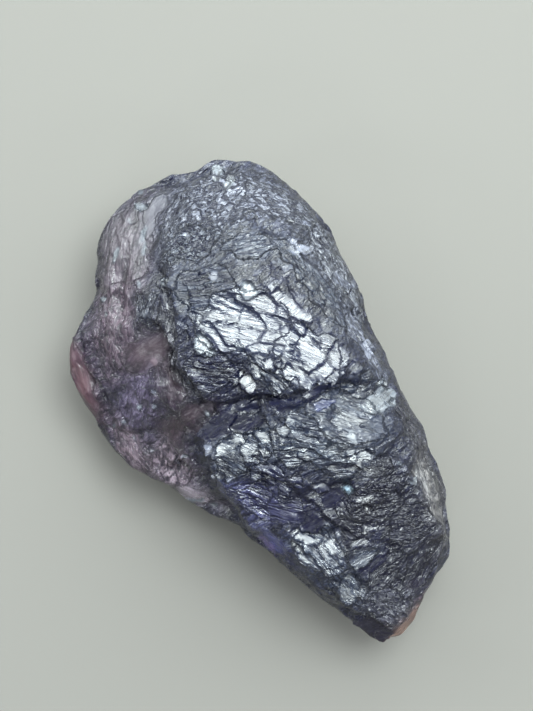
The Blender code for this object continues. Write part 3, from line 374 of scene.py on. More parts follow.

# Cracks, darkened with painted shade where they are deep: the line in plan, as x and y in turn,
# its depth, or below 0 the height of a raised line, and its half width
CRACKS = [
    ([-1.1, 9.9, -0.7, 9.4, -0.6, 8, -0.5, 7, -0.1, 5.7, -0.2, 5.1, -0.5, 4.4], 0.22, 0.14),
    ([1.5, 11.6, 2.1, 11.2, 3, 10.2, 3.2, 9.6, 3.8, 8.3, 4, 7.5, 4.1, 6.6], 0.2, 0.14),
    ([4.2, 8.7, 4.6, 7.9, 5, 7.2, 5.5, 6.4, 6, 5.5, 6.1, 5], 0.18, 0.12),
    ([8, 9.6, 7.8, 8.4, 7.7, 6.4, 7.8, 5.6, 8.2, 5.1], 0.3, 0.2),
    ([5.95, 10.8, 6, 10, 5.8, 9.2], 0.16, 0.12),
    ([0.6, 14, 0.2, 13.4, -0.1, 12.8, -0.3, 11.9, -0.2, 10.6, 0, 10.3, -1, 10], 0.14, 0.1),
    ([-0.4, 9.5, 0.8, 8.9, 1.9, 8.3, 2.6, 7.6, 3.1, 6.9, 3.7, 6.3, 5.1, 5.2], 0.12, 0.08),
    ([5, 14.2, 6.3, 14, 7.2, 13.9, 8.2, 13.6], 0.12, 0.1),
    ([6, 11.6, 7, 11.3, 8, 11.6], 0.12, 0.12),
    ([1.4, 6.9, 1.1, 6.5, 1.3, 6.1, 1.5, 5.5, 1.4, 4.9, 1.9, 4.6], 0.24, 0.18),
    ([5.1, 4.6, 5.2, 3.4, 5.1, 2.2, 5.3, 1.2], 0.14, 0.1),
    ([2.9, 4.3, 2.8, 3.2, 3, 2, 3, 1, 3.1, 0.2], 0.2, 0.14),
    ([0.9, 4.4, 1, 3.4, 1.4, 2.4, 1.9, 1.6], 0.18, 0.14),
    ([4.9, 4.2, 4.7, 3.2, 4.2, 2.9], 0.12, 0.1),
    ([7, 4.6, 6.9, 3.2, 7.1, 2.2, 7.6, 2.1], 0.16, 0.12),
    ([8.7, 2.6, 8.8, 1.6, 8.6, 0.4], 0.16, 0.12),
    ([0.3, -0.8, 0.1, -1.4, -0.4, -2.1, -1, -2.7], 0.2, 0.12),
    ([1.1, -1.4, 1.2, -2.4, 2, -2.9, 2.9, -3.7], 0.22, 0.14),
    ([-1, -3.1, 0, -3.8, 1.3, -4.5, 2.4, -5], 0.2, 0.14),
    ([-3.9, -2.6, -3, -4, -2.4, -5.4, -1.8, -6.6], 0.22, 0.16),
    ([-2.8, -3.6, -1.8, -5.2, -1.2, -6.6], 0.16, 0.12),
    ([3.4, -8, 4.2, -8.3, 5.2, -8.3, 6.2, -7.6], 0.16, 0.12),
    ([4.1, -2.9, 4.4, -3.6, 4.2, -4.6, 4.7, -5.6], 0.1, 0.08),
    ([-2.7, 2.2, -1.4, 1.3, -0.3, 0.4], -0.08, 0.1),
    ([0, -10.6, 1, -10.2, 2, -10.4], -0.1, 0.14),
    ([-1.3, -8.2, -0.8, -9.3, -0.4, -10.3, -0.1, -11.2], -0.16, 0.22),
    ([-2.2, -16.3, -2.1, -17, -2.6, -17.6], 0.14, 0.09),
    ([-2.7, -16.5, -2.9, -17.2], 0.1, 0.08),
    ([-0.6, -16.5, 0.8, -16.2, 2.2, -15.6], 0.2, 0.16),
    ([2.2, -15.4, 2.6, -16.4, 3.1, -17.1], -0.1, 0.12),
    ([7.3, -9.6, 7.3, -12.6, 7.2, -15, 7.5, -17.6], -0.12, 0.16),
    ([-1.9, -20.2, -1.5, -21.4, -1.1, -22.8], -0.08, 0.12),
    ([-3.8, 3, 0.4, 1.4, 2.8, -0.1, 5.4, 0, 6.8, -1.4, 9.2, -2.8, 10.6, -3.4], -0.6, 0.6),
    ([-1.8, 14.8, -2.1, 13.4, -3.1, 11.3, -4.3, 9.6, -5.1, 7.5, -4.5, 5.1, -4.5, 3.4], -0.4, 0.5),
]

# How far a crack wavers, over what length and from which seeds, the middle and the swing of its
# depth, over what length and from which seed, how thin it runs out, the normal's upward share
# from which it is whole, and how much painted shade its depth lays in it
CRACK_WAVER = (0.2, 0.9, (51.0, 63.0))
BREAK_LEVEL = 0.7
BREAK_SWING = 0.6
BREAK_SIZE = 0.7
BREAK_SEED = 33.0
THINNEST = 0.25
CRACK_UPPER = 0.4
CREASE_SHARE = 3.5

# Lights: the direction towards each, as shares to the picture's right, up and towards the camera,
# its half angle in degrees as seen from the crystal, and its radiance
LIGHTS = {
    "key": ((0.24, 0.30, 0.92), 14.0, 22.0),
    "key glow": ((0.24, 0.32, 0.92), 26.0, 5.0),
    "ceiling": ((0.15, 0.40, 0.88), 46.0, 1.3),
    "far wall": ((0.00, 0.90, 0.40), 24.0, 6.5),
    "far left wall": ((-0.75, 0.55, 0.40), 22.0, 7.0),
    "right wall": ((0.85, 0.40, 0.35), 20.0, 5.0),
    "left lamp": ((-0.75, -0.20, 0.60), 6.0, 14.0),
    "near lamp": ((-0.20, -0.65, 0.70), 5.0, 14.0),
    "right lamp": ((0.66, -0.35, 0.66), 5.0, 14.0),
}

# The lights' colour, the way towards the dim side of the room, the lights' distance, and the
# grey of the room
LIGHT_COLOUR = (0.91, 1.0, 0.99)
DARK_WAY = (-0.10, -0.26, 0.96)
LIGHT_DISTANCE = 400.0
WORLD = (0.30, 0.30, 0.32)

# The table's colour, its roughness, how far it reaches and how far it lies under the crystal
FLOOR = (0.127, 0.122, 0.113)
FLOOR_ROUGHNESS = 0.9
FLOOR_REACH = 2000.0
FLOOR_DROP = 0.01

# The stone: how much painted sheen its crests get, its colour deep in the dark lines, which is
# partly painted shade, how clear it is, its refractive index, and what it absorbs
PAINTED_SHEEN = 0.08
DEEP = (0.010, 0.012, 0.046)
CLEARNESS = 0.6
IOR = 1.54
ABSORB_COLOUR = (0.42, 0.40, 0.72)
ABSORB_PER_METRE = 330.0

# Lines that the material draws: the stretch of the grain's frame, the scale and reach of their
# bends, the scale and detail of the noise whose middle level they follow (the cells follow their
# own borders), and how near to it they are full and how far from it they end
Mark = namedtuple("Mark", "stretch bend reach scale detail near far")
CELLS = Mark((0.4, 1.3, 0.8), 1.3, 0.5, 1.0, None, 0.03, 0.12)
GROOVES = Mark((0.3, 1.5, 0.8), 0.8, 0.5, 1.4, 1, 0.02, 0.10)
HOLLOWS = Mark((0.8, 1.2, 1.0), 0.8, 0.8, 1.25, 2, 0.02, 0.09)
CRESTS = Mark((0.8, 1.4, 1.0), 1.4, 0.6, 1.8, 1, 0.0, 0.09)
HAIRS = Mark((0.25, 2.4, 1.0), 0.6, 0.25, 1.0, 1, 0.03, 0.15)

# Clouds of noise: the stretch of the frame, their scale and detail, the levels between which they
# run, and the least and the most that they give
Cloud = namedtuple("Cloud", "stretch scale detail low high least most")
GAPS = Cloud((1.0, 1.0, 1.0), 0.9, 2, 0.42, 0.58, 0.1, 1.0)
RIDGES = Cloud((1.0, 1.0, 1.0), 1.0, 2, 0.38, 0.62, -0.5, 0.5)
SHADES = Cloud((0.4, 1.0, 0.6), 1.0, 3, 0.3, 0.7, -0.5, 0.5)
SPECKLES = Cloud((0.7, 2.4, 1.2), 1.0, 2, 0.35, 0.65, -0.08, 0.08)

# Noises: scale, detail and roughness of the pits, the same but the scale of the bends, the
# roughness of the others, and the middle of them all
PITS = (2.0, 2, 0.6)
BENDS = (2.0, 0.5)
NOISE_ROUGHNESS = 0.55
NOISE_MIDDLE = 0.5

# How dark the lines are, with painted shade in the hollows and grooves, what they cover of the tone, how
# deep and how much rougher they are
HOLLOW_DARK = 0.7
GROOVE_DARK = 0.5
HAIR_DARK = 0.35
DARK_COVER = 0.9
DARK_DEPTH = 0.9
DARK_ROUGH = 0.35

# What a groove takes from its ridge, in painted shade and in relief, the curl that is neither light
# nor dark, how much painted sheen ridges and curls get, as powers of this base, and how high they and the
# pits stand
GROOVE_CUT = 0.6
CURL_MIDDLE = 0.35
LIGHT_BASE = 4.0
RIDGE_LIGHT = 0.8
CURL_LIGHT = 1.4
RIDGE_HEIGHT = 0.4
CURL_HEIGHT = 0.4
PIT_HEIGHT = 0.3
BUMP_HEIGHT = 0.1

# What a calm flat keeps of the dark lines and of the lightening and dimming, painted shade and sheen among
# them, and of the heights
FLAT_SHADES = 0.4
FLAT_HEIGHTS = 0.06

# Numbers of a colour mix node's sockets
MIX_FACTOR, MIX_FIRST, MIX_SECOND, MIX_RESULT = 0, 6, 7, 2


def smooth(t):
    t = np.clip(t, 0.0, 1.0)
    return t * t * (3 - 2 * t)


def unit(v):
    v = np.asarray(v, float)
    return v / np.maximum(np.linalg.norm(v, axis=-1, keepdims=True), TINY)


def picture_up():
    """The direction in plan that points up in the picture."""
    turn = np.radians(CAMERA_TURN)
    return Vector((np.sin(turn), np.cos(turn), 0.0))


def picture_way(right, up, out):
    """A direction given by its shares to the picture's right, up and towards the camera."""
    way = picture_up().cross(UP) * right + picture_up() * up + UP * out
    return way.normalized()


def mirror_normal():
    """The way a surface looks when it mirrors the main light into the camera."""
    key, _, _ = LIGHTS["key"]
    return np.array((picture_way(*key) + UP).normalized())


def dark_normal():
    """The way a surface looks when it mirrors only the dim side of the room into the camera."""
    return np.array(picture_way(*DARK_WAY))


def evaluated_copy(obj):
    graph = bpy.context.evaluated_depsgraph_get()
    return bpy.data.meshes.new_from_object(obj.evaluated_get(graph))


def welded_copy(node):
    """A new object with the CAD node's mesh, its doubled points joined."""
    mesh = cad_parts[node].data.copy()
    mesh.materials.clear()
    piece = bpy.data.objects.new("stone", mesh)
    bpy.context.scene.collection.objects.link(piece)
    weld = piece.modifiers.new("weld", "WELD")
    weld.merge_threshold = WELD * MM
    return piece


def voxel():
    return FINE_VOXEL


def remeshed(piece):
    """Even quads over the whole stone, softened enough to lose the solid's triangles."""
    even = piece.modifiers.new("even", "REMESH")
    even.mode = "VOXEL"
    even.voxel_size = voxel() * MM
    soften = piece.modifiers.new("soften", "SMOOTH")
    soften.iterations = SMOOTH_ROUNDS
    soften.factor = SMOOTH_SHARE
    mesh = evaluated_copy(piece)
    piece.modifiers.clear()
    piece.data = mesh
    return mesh


def read_points(mesh):
    points = np.empty(len(mesh.vertices) * 3)
    mesh.vertices.foreach_get("co", points)
    normals = np.empty(len(mesh.vertices) * 3, np.float32)
    mesh.vertex_normals.foreach_get("vector", normals)
    return points.reshape(-1, 3) / MM, normals.reshape(-1, 3).astype(float)


def read_edges(mesh):
    edges = np.empty(2 * len(mesh.edges), np.int32)
    mesh.edges.foreach_get("vertices", edges)
    return edges.reshape(-1, 2)


def kept_above_table(mesh, points):
    """Puts the mesh's points at these places, lifted to the table where they are under it."""
    points[:, 2] = np.maximum(points[:, 2], 0.0)
    mesh.vertices.foreach_set("co", (points * MM).reshape(-1))


def noise_at(places):
    return np.array([noise.noise(Vector(p)) for p in places])


def wavers(points, far, size, seeds):
    """How far each point wavers, in waves of this size, with a column for each seed."""
    return far * np.stack([noise_at(points / size + seed) for seed in seeds], axis=1)


# The stone's skin: its points and normals, each patch's weight on them, the patch that weighs
# most, the patch or flat that each belongs to, and how calm each is
Skin = namedtuple("Skin", "points normals weights main region calm")


def patch_frame(patch, points, normals):
    """The patch's middle on the upper surface, and its along, across and outward directions."""
    plan = np.linalg.norm(points[:, :2] - np.array(patch.place), axis=1)
    upper = (plan < MIDDLE_REACH) & (normals[:, 2] > 0)
    if not upper.any():
        upper = plan <= plan[normals[:, 2] > 0].min() + MIDDLE_MORE
    middle = points[upper].mean(axis=0)
    outward = unit(normals[upper].mean(axis=0))
    turn = np.radians(patch.turn)
    along = np.array((np.cos(turn), np.sin(turn), 0.0))
    along = unit(along - outward * (along @ outward))
    return middle, along, np.cross(outward, along), outward


def local_places(points, axes):
    """The points in a patch's frame: along, across and outward from its middle."""
    middle, along, across, outward = axes
    apart = points - middle
    return np.stack([apart @ along, apart @ across, apart @ outward], axis=1)


def patch_weights(points, normals, frames):
    """A weight for each patch at each point, the last for the rest of the surface."""
    moved = points + wavers(points, *PATCH_WAVER)
    weights = []
    for patch, (middle, along, across, outward) in zip(PATCHES, frames):
        apart = moved - middle
        far = (apart @ along / patch.reach[0]) ** 2 + (apart @ across / patch.reach[1]) ** 2
        far += (apart @ outward / PATCH_DEPTH) ** 2
        weights.append(np.exp(-PATCH_EDGE * far) * (normals @ outward > LOOKING_AWAY))
    weights.append(np.full(len(points), ELSEWHERE_SHARE))
    weights = np.array(weights)
    return weights / weights.sum(axis=0)


def levelled(points, normals, weights):
    """The points and normals once the patches that mirror the main light fully share one plane."""
    target = mirror_normal()
    squarely = [weight for patch, weight in zip(PATCHES, weights) if patch.flash >= 1]
    share = LEVEL_SHARE * sum(squarely)
    middle = points[share > LEVEL_SHARE / 2].mean(axis=0)
    across = np.maximum(normals @ target, LEAST_FACING)
    moves = np.clip(-((points - middle) @ target) / across, -LEVEL_STEP, LEVEL_STEP)
    turned = unit(normals + share[:, None] * (target - normals))
    return points + (share * moves)[:, None] * normals, turned


def inside(plan, corners):
    """Whether each place in plan lies inside the outline."""
    found = np.zeros(len(plan), bool)
    x, y = plan[:, 0], plan[:, 1]
    for (ax, ay), (bx, by) in zip(corners, corners[1:] + corners[:1]):
        crosses = (ay > y) != (by > y)
        found ^= crosses & (x < (bx - ax) * (y - ay) / (by - ay + TINY) + ax)
    return found


def grown(corners, share):
    """The outline made larger about its middle by this share."""
    corners = np.array(corners).reshape(-1, 2)
    middle = corners.mean(axis=0)
    return (middle + (1 + share) * (corners - middle)).tolist()


def regions(points, normals, weights):
    """The number of each point's patch, or of its flat, numbered after all the patches."""
    plan = points[:, :2] + wavers(points, *FRAY)
    region = weights.argmax(axis=0)
    for index, (corners, square, *_) in enumerate(FLATS):
        corners = grown(corners, BRIGHT_GROWTH if square >= BRIGHT_FROM else 0.0)
        region[inside(plan, corners) & (normals[:, 2] > FLAT_UPPER)] = FIRST_FLAT + index
    return region


def calmness(weights):
    """How calm the patches that mirror the light make each point, from 0 to 1."""
    flashes = np.array([abs(patch.flash) for patch in ALL_PATCHES])
    return weights.T @ (CALM_MOST * smooth((flashes - CALM_FROM) / (1 - CALM_FROM)))


def strand_rise(skin, index, axes):
    """The height of a patch's strands at each point."""
    near = np.flatnonzero(skin.weights[index] > NEAR_WEIGHT)
    spacing, tall = ALL_PATCHES[index].strands
    places = local_places(skin.points[near], axes) / (spacing * np.array(STRAND_STRETCH))
    strands = noise_at(places + STRAND_SEED * index)
    rise = np.zeros(len(skin.points))
    rise[near] = (1 - skin.calm[near]) * skin.weights[index][near] * tall
    rise[near] *= 1 - STRAND_SHARPNESS * np.abs(strands)
    return rise


def split_into_plates(local, count, random):
    """Numbers the points by the nearest of some of them, chosen at random."""
    seeds = random.choice(len(local), size=min(count, len(local)), replace=False)
    tree = kdtree.KDTree(len(seeds))
    for number, seed in enumerate(seeds):
        tree.insert(local[seed], number)
    tree.balance()
    return np.array([tree.find(place)[1] for place in local])


def plate_moves(skin, here, axes, random, size, tilt, flash):
    """How far the points here move along their normals to break into flat plates of this size."""
    points, normals = skin.points[here], skin.normals[here]
    count = max(1, round(len(points) * voxel() ** 2 / (size[0] * size[1])))
    plate = split_into_plates(local_places(points, axes) / (size[0], size[1], size[0]), count, random)
    members = np.maximum(np.bincount(plate, minlength=count), 1)[:, None]
    columns = [*points.T, *normals.T]
    sums = [np.bincount(plate, weights=column, minlength=count) for column in columns]
    means = np.array(sums).T / members
    middles, facing = means[:, :3], unit(means[:, 3:])
    target = mirror_normal() if flash > 0 else dark_normal()
    lean = unit((1 - abs(flash)) * facing + abs(flash) * target)
    lean = unit(lean + np.radians(tilt) * random.normal(size=lean.shape))
    across = np.maximum((normals * lean[plate]).sum(axis=1), LEAST_FACING)
    return -((points - middles[plate]) * lean[plate]).sum(axis=1) / across


def patch_relief(skin, frames, random):
    """The height of the low lumps and of every patch's strands and plates at each point."""
    rise = sum(height * noise_at(skin.points / size + seed) for height, size, seed in LUMPS)
    rise *= 1 - skin.calm
    for index, (patch, axes) in enumerate(zip(ALL_PATCHES, frames)):
        if not (skin.main == index).any():
            continue
        rise += strand_rise(skin, index, axes)
        here = np.flatnonzero(skin.region == index)
        if len(here):
            flash = abs(patch.flash)
            moves = plate_moves(skin, here, axes, random, patch.plates, patch.tilt, patch.flash)
            step = DEEPEST_STEP * (1 + flash)
            rise[here] += (PLATE_SHARE + FLASH_SHARE * flash) * np.clip(moves, -step, step)
    return rise


def lay_flats(skin, frames, rise, random):
    """Flattens the named flats in the relief, and makes them calm."""
    for index, (_, square, *_) in enumerate(FLATS):
        here = np.flatnonzero(skin.region == FIRST_FLAT + index)
        if len(here):
            axes = frames[np.bincount(skin.main[here]).argmax()]
            size = FLAT_STRIPS if square > 0 else DARK_PLATES
            moves = plate_moves(skin, here, axes, random, size, FLAT_TILT, square)
            rise[here] = FLAT_RELIEF * rise[here] + np.clip(moves, -FLAT_STEP, FLAT_STEP)
            skin.calm[here] = max(square, LEAST_CALM) if square > 0 else DARK_CALM


def line_distance(plan, line):
    """Each place's distance from the line, and how far along it, from 0 to 1, that is."""
    best = np.full(len(plan), np.inf)
    along = np.zeros(len(plan))
    line = np.array(line).reshape(-1, 2)
    lengths = np.linalg.norm(np.diff(line, axis=0), axis=1)
    travel = 0.0
    for a, b, length in zip(line[:-1], line[1:], lengths):
        step = b - a
        t = np.clip((plan - a) @ step / (step @ step), 0.0, 1.0)
        far = np.linalg.norm(plan - a - t[:, None] * step, axis=1)
        along = np.where(far < best, (travel + t * length) / lengths.sum(), along)
        best = np.minimum(best, far)
        travel += length
    return best, along


def cracks_at(points, normals):
    """Depth of the named cracks at each point, below 0 on a raised line."""
    plan = points[:, :2] + wavers(points, *CRACK_WAVER)
    breaks = BREAK_LEVEL + BREAK_SWING * noise_at(points / BREAK_SIZE + BREAK_SEED)
    depth = np.zeros(len(points))
    for line, deep, half in CRACKS:
        far, along = line_distance(plan, line)
        taper = THINNEST + (1 - THINNEST) * np.sin(np.pi * along)
        depth += deep * taper * np.exp(-((far / (half * taper)) ** 2))
    return depth * breaks * smooth(normals[:, 2] / CRACK_UPPER)


def softened(values, edges):
    """Each point's value, halfway to the mean of its neighbours'."""
    count = len(values)
    first, second = edges.T
    sums = np.bincount(first, values[second], count) + np.bincount(second, values[first], count)
    members = np.bincount(first, minlength=count) + np.bincount(second, minlength=count)
    return (values + sums / np.maximum(members, 1)) / 2


def tones_at(skin, edges):
    """The colour of each point: the patches' tones, run softly together, under the flats' own."""
    weights = skin.weights**TONE_SOFTNESS
    weights /= weights.sum(axis=0)
    tone = weights.T @ np.array([TONES[patch.tone] for patch in ALL_PATCHES])
    cover = np.zeros((len(tone), 4))
    for index, (_, _, *names) in enumerate(FLATS):
        for name in names:
            cover[skin.region == FIRST_FLAT + index] = (*TONES[name], 1.0)
    for _ in range(COVER_ROUNDS):
        cover = np.stack([softened(column, edges) for column in cover.T], axis=1)
    return tone * (1 - cover[:, 3:]) + cover[:, :3]


def grain_at(skin, frames):
    """Each point's place in its patch's frame, set apart from the places of the other patches."""
    grain = np.zeros((len(skin.points), 3))
    for index, axes in enumerate(frames):
        here = skin.main == index
        grain[here] = local_places(skin.points[here], axes) + GRAIN_STEP * index
    return grain


def store(mesh, name, values):
    """Keeps one number or three for each point under a name."""
    kind, key = ("FLOAT", "value") if values.ndim == 1 else ("FLOAT_VECTOR", "vector")
    layer = mesh.attributes.new(name, kind, "POINT")
    layer.data.foreach_set(key, values.astype(np.float32).reshape(-1))


def carve(mesh):
    """Moves the points into the relief, and stores what the material needs on them."""
    random = np.random.default_rng(PLATE_SEED)
    edges = read_edges(mesh)
    points, normals = read_points(mesh)
    frames = [*(patch_frame(patch, points, normals) for patch in PATCHES), PLAIN_FRAME]
    weights = patch_weights(points, normals, frames)
    points, normals = levelled(points, normals, weights)
    region = regions(points, normals, weights)
    skin = Skin(points, normals, weights, weights.argmax(axis=0), region, calmness(weights))
    rise = patch_relief(skin, frames, random)
    lay_flats(skin, frames, rise, random)
    cracks = cracks_at(points, normals)
    rise = softened(rise, edges) - cracks
    rise *= smooth(points[:, 2] / BASE_FADE)
    rise *= UPRIGHT_SHARE + (1 - UPRIGHT_SHARE) * smooth(np.abs(normals[:, 2]) / UPRIGHT_FADE)
    kept_above_table(mesh, points + rise[:, None] * normals)
    rough = weights.T @ np.array([patch.rough for patch in ALL_PATCHES])
    # the tone carries the painted glints, glows, sheen and warm light of some tones
    store(mesh, "tone", tones_at(skin, edges))
    store(mesh, "rough", rough * (1 - CALM_GLOSS * skin.calm))
    # the crease mask: painted shade in the deep cracks
    store(mesh, "crease", np.clip(CREASE_SHARE * cracks, 0, 1))
    store(mesh, "marks", weights.T @ np.array([patch.marks for patch in ALL_PATCHES]))
    store(mesh, "grain", grain_at(skin, frames))
    store(mesh, "flat", skin.calm)
    mesh.update()


def thin(piece):
    """Takes triangles mostly from the sides and the underside, and sharpens the plates' edges."""
    mesh = piece.data
    count = sum(len(face.vertices) - 2 for face in mesh.polygons)
    if count > MOST_TRIANGLES:
        _, normals = read_points(mesh)
        sideways = np.round(UNDER_STEPS * smooth((UPPER_NORMAL - normals[:, 2]) / UPPER_FADE))
        under = piece.vertex_groups.new(name="under")
        for step in range(UNDER_STEPS + 1):
            weight = KEPT_SHARE + (1 - KEPT_SHARE) * step / UNDER_STEPS
            under.add(np.flatnonzero(sideways == step).tolist(), weight, "REPLACE")
        fewer = piece.modifiers.new("fewer", "DECIMATE")
        fewer.ratio = MOST_TRIANGLES / count
        fewer.vertex_group = "under"
        mesh = evaluated_copy(piece)
        piece.modifiers.clear()
        piece.data = mesh
        piece.vertex_groups.clear()
        kept_above_table(mesh, read_points(mesh)[0])
    mesh.shade_smooth()
    mesh.set_sharp_from_angle(angle=np.radians(SHARP_ANGLE))


class Nodes:
    """Short calls for building a material's nodes."""

    def __init__(self, material):
        self.tree = material.node_tree

    def add(self, kind, inputs, output=0, **settings):
        """An output of a new node, its inputs joined to other outputs or set to constants."""
        node = self.tree.nodes.new(kind)
        for name, value in settings.items():
            setattr(node, name, value)
        for key, value in inputs.items():
            if hasattr(value, "is_linked"):
                self.join(value, node.inputs[key])
            else:
                node.inputs[key].default_value = value
        return node.outputs[output]

    def join(self, source, target):
        self.tree.links.new(source, target)

    def kept(self, name, output="Fac"):
        """What is stored on the mesh under a name."""
        return self.add("ShaderNodeAttribute", {}, output, attribute_name=name)

    def maths(self, operation, first, *others):
        for other in others:
            first = self.add("ShaderNodeMath", {0: first, 1: other}, operation=operation)
        return first

    def product(self, *values):
        return self.maths("MULTIPLY", *values)

    def total(self, *values):
        return self.maths("ADD", *values)

    def less(self, *values):
        return self.maths("SUBTRACT", *values)

    def most(self, *values):
        return self.maths("MAXIMUM", *values)

    def noise(self, vector, scale, detail, roughness=NOISE_ROUGHNESS, output="Fac"):
        inputs = {"Vector": vector, "Scale": scale, "Detail": detail, "Roughness": roughness}
        return self.add("ShaderNodeTexNoise", inputs, output)

    def stretched(self, vector, scale):
        return self.add("ShaderNodeMapping", {"Vector": vector, "Scale": scale})

    def ranged(self, value, low, high, to_low, to_high):
        inputs = {"From Min": low, "From Max": high, "To Min": to_low, "To Max": to_high}
        return self.add("ShaderNodeMapRange", {"Value": value, **inputs})

    def bent(self, vector, mark):
        """The vector stretched, then moved by a noise, so that the mark drawn along it bends."""
        vector = self.stretched(vector, mark.stretch)
        moves = self.noise(vector, mark.bend, *BENDS, "Color")
        moves = self.add("ShaderNodeVectorMath", {0: moves, 1: (NOISE_MIDDLE,) * 3}, operation="SUBTRACT")
        inputs = {0: moves, 1: (2 * mark.reach,) * 3, 2: vector}
        return self.add("ShaderNodeVectorMath", inputs, operation="MULTIPLY_ADD")

    def cells(self, vector, mark):
        """1 on the borders between the mark's cells, fading to 0 further from them."""
        inputs = {"Vector": self.bent(vector, mark), "Scale": mark.scale}
        away = self.add("ShaderNodeTexVoronoi", inputs, "Distance", feature="DISTANCE_TO_EDGE")
        return self.ranged(away, mark.near, mark.far, 1.0, 0.0)

    def lines(self, vector, mark):
        """1 where the mark's noise is at its middle level, fading to 0 further from it."""
        wave = self.noise(vector, mark.scale, mark.detail)
        away = self.maths("ABSOLUTE", self.less(wave, NOISE_MIDDLE), 0.0)
        return self.ranged(away, mark.near, mark.far, 1.0, 0.0)

    def cloud(self, vector, cloud):
        """The cloud's noise, between the least and the most that it gives."""
        wave = self.noise(self.stretched(vector, cloud.stretch), cloud.scale, cloud.detail)
        return self.ranged(wave, cloud.low, cloud.high, cloud.least, cloud.most)

    def grey(self, value):
        return self.add("ShaderNodeCombineColor", {0: value, 1: value, 2: value})

    def mixed(self, blend, factor, first, second):
        inputs = {MIX_FACTOR: factor, MIX_FIRST: first, MIX_SECOND: second}
        return self.add("ShaderNodeMix", inputs, MIX_RESULT, data_type="RGBA", blend_type=blend)


def stone_marks(n, grain, flat):
    """How dark the lines are, partly painted shade in the cracks, grooves and hollows, and how high the
    ridges and the curls, all over the stone.
    """
    marks = n.kept("marks", "Vector")
    lines, curls, streaks = (n.add("ShaderNodeSeparateXYZ", {0: marks}, axis) for axis in "XYZ")

    # Thin dark lines between long cells, broken up along their length, partly painted shade
    line = n.product(n.cells(grain, CELLS), n.cloud(grain, GAPS), lines)

    # Long ridges along the grain, which also carry painted sheen, with grooves between them darkened by
    # painted shade
    along = n.bent(grain, GROOVES)
    groove = n.lines(along, GROOVES)
    ridge = n.product(n.less(n.cloud(along, RIDGES), n.product(groove, GROOVE_CUT)), streaks)

    # Curled crests and hollows along the middle levels of two bent noises, with painted sheen on the crests
    # and painted shade in the hollows
    hollow = n.lines(n.bent(grain, HOLLOWS), HOLLOWS)
    crest = n.lines(n.bent(grain, CRESTS), CRESTS)
    curl = n.product(n.less(crest, n.total(hollow, CURL_MIDDLE)), curls)

    # The darkest of the lines, with the painted shade of the cracks, less dark on the flats, but for the
    # fine hairs along them
    hollow = n.product(hollow, curls, HOLLOW_DARK)
    groove = n.product(groove, streaks, GROOVE_DARK)
    hair = n.product(n.lines(n.bent(grain, HAIRS), HAIRS), streaks, flat, HAIR_DARK)
    dark = n.most(line, hollow, groove, n.kept("crease"))
    dark = n.product(dark, n.ranged(flat, 0.0, 1.0, 1.0, FLAT_SHADES))
    return n.most(dark, hair), ridge, curl


def stone_colour(n, grain, flat, dark, ridge, curl):
    """The tone, dimmer or lighter with a cloud and with painted sheen and shade along the ridges and curls,
    with painted sheen added where it is lighter, and deep in the dark lines with partly painted shade.
    """
    power = n.total(n.cloud(grain, SHADES), n.product(ridge, RIDGE_LIGHT), n.product(curl, CURL_LIGHT))
    power = n.product(power, n.ranged(flat, 0.0, 1.0, 1.0, FLAT_SHADES))
    light = n.maths("POWER", LIGHT_BASE, power)
    dimmed = n.grey(n.maths("MINIMUM", light, 1.0))
    # painted sheen: a pale grey added where the marks lighten the tone
    sheen = n.grey(n.product(n.most(n.less(light, 1.0), 0.0), PAINTED_SHEEN))
    colour = n.mixed("MULTIPLY", 1.0, n.kept("tone", "Color"), dimmed)
    colour = n.mixed("ADD", 1.0, colour, sheen)
    # the dark lines take the deep colour, partly painted shade in cracks, grooves and hollows
    return n.mixed("MIX", n.product(dark, DARK_COVER), colour, (*DEEP, 1.0))


def stone_bump(n, grain, flat, dark, ridge, curl):
    """The fine relief that is left to the material."""
    pits = n.product(n.noise(grain, *PITS), PIT_HEIGHT)
    height = n.total(n.product(ridge, RIDGE_HEIGHT), n.product(curl, CURL_HEIGHT), pits)
    height = n.product(height, n.ranged(flat, 0.0, 1.0, 1.0, FLAT_HEIGHTS))
    height = n.less(height, n.product(dark, DARK_DEPTH))
    return n.add("ShaderNodeBump", {"Height": height, "Strength": 1.0, "Distance": BUMP_HEIGHT * MM})


def stone_material():
    """Dark glassy stone, with its marks in the colour, among them painted sheen and shade, the gloss and the
    relief.
    """
    material = bpy.data.materials.new("iolite")
    material.use_nodes = True
    n = Nodes(material)
    shader = material.node_tree.nodes["Principled BSDF"]
    grain = n.kept("grain", "Vector")
    flat = n.kept("flat")
    dark, ridge, curl = stone_marks(n, grain, flat)
    rough = n.total(n.kept("rough"), n.cloud(grain, SPECKLES), n.product(dark, flat, DARK_ROUGH))
    n.join(rough, shader.inputs["Roughness"])
    n.join(stone_colour(n, grain, flat, dark, ridge, curl), shader.inputs["Base Color"])
    n.join(stone_bump(n, grain, flat, dark, ridge, curl), shader.inputs["Normal"])
    shader.inputs["Transmission Weight"].default_value = CLEARNESS
    shader.inputs["IOR"].default_value = IOR
    inputs = {"Color": (*ABSORB_COLOUR, 1.0), "Density": ABSORB_PER_METRE}
    absorbed = n.add("ShaderNodeVolumeAbsorption", inputs)
    n.join(absorbed, material.node_tree.nodes["Material Output"].inputs["Volume"])
    return material


def stone():
    """The visible crystal, in place of the plain solid."""
    piece = welded_copy(NODE)
    carve(remeshed(piece))
    thin(piece)
    piece.data.materials.append(stone_material())
    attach(piece, "root")
    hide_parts(NODE)


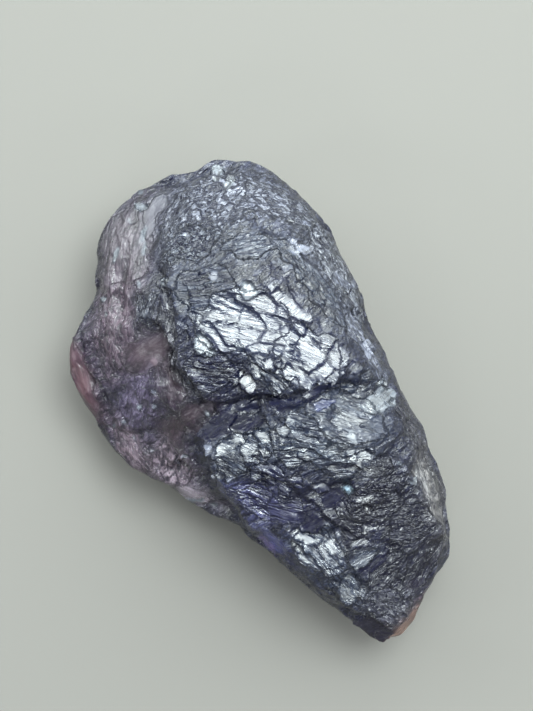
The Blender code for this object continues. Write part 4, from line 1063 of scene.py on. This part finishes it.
def floor():
    side = FLOOR_REACH * MM
    mesh = bpy.data.meshes.new("table")
    corners = [(-side, -side, 0.0), (side, -side, 0.0), (side, side, 0.0), (-side, side, 0.0)]
    mesh.from_pydata(corners, [], [(0, 1, 2, 3)])
    material = bpy.data.materials.new("pale table")
    material.use_nodes = True
    shader = material.node_tree.nodes["Principled BSDF"]
    shader.inputs["Base Color"].default_value = (*FLOOR, 1.0)
    shader.inputs["Roughness"].default_value = FLOOR_ROUGHNESS
    mesh.materials.append(material)
    table = bpy.data.objects.new("table", mesh)
    table.location.z = -FLOOR_DROP * MM
    bpy.context.scene.collection.objects.link(table)


def softbox(name, way, half_angle, radiance):
    """A round light of this radiance that fills a cone of this half angle at the crystal."""
    distance = LIGHT_DISTANCE * MM
    radius = distance * np.tan(np.radians(half_angle))
    light = bpy.data.lights.new(name, "AREA")
    light.shape = "DISK"
    light.size = 2 * radius
    light.color = LIGHT_COLOUR
    light.energy = radiance * np.pi * np.pi * radius**2
    lamp = bpy.data.objects.new(name, light)
    lamp.location = way * distance
    lamp.rotation_euler = way.to_track_quat("Z", "Y").to_euler()
    bpy.context.scene.collection.objects.link(lamp)


def lights():
    for name, (way, half_angle, radiance) in LIGHTS.items():
        softbox(name, picture_way(*way), half_angle, radiance)
    world = bpy.data.worlds.new("studio")
    world.use_nodes = True
    world.node_tree.nodes["Background"].inputs["Color"].default_value = (*WORLD, 1.0)
    bpy.context.scene.world = world


def camera():
    up = picture_up()
    data = bpy.data.cameras.new("camera")
    data.sensor_fit = "VERTICAL"
    data.sensor_height = SENSOR
    data.lens = SENSOR * CAMERA_HEIGHT / VIEW_TALL
    data.clip_start = CLIP_START * MM
    eye = bpy.data.objects.new("camera", data)
    place = Vector((*CAMERA_OVER, OUTLINE_LEVEL + CAMERA_HEIGHT)) * MM
    turn = Matrix((up.cross(UP), up, UP)).transposed().to_4x4()
    eye.matrix_world = Matrix.Translation(place) @ turn
    bpy.context.scene.collection.objects.link(eye)
    bpy.context.scene.camera = eye
    bpy.context.scene.view_settings.view_transform = "Standard"


stone()
floor()
lights()
camera()
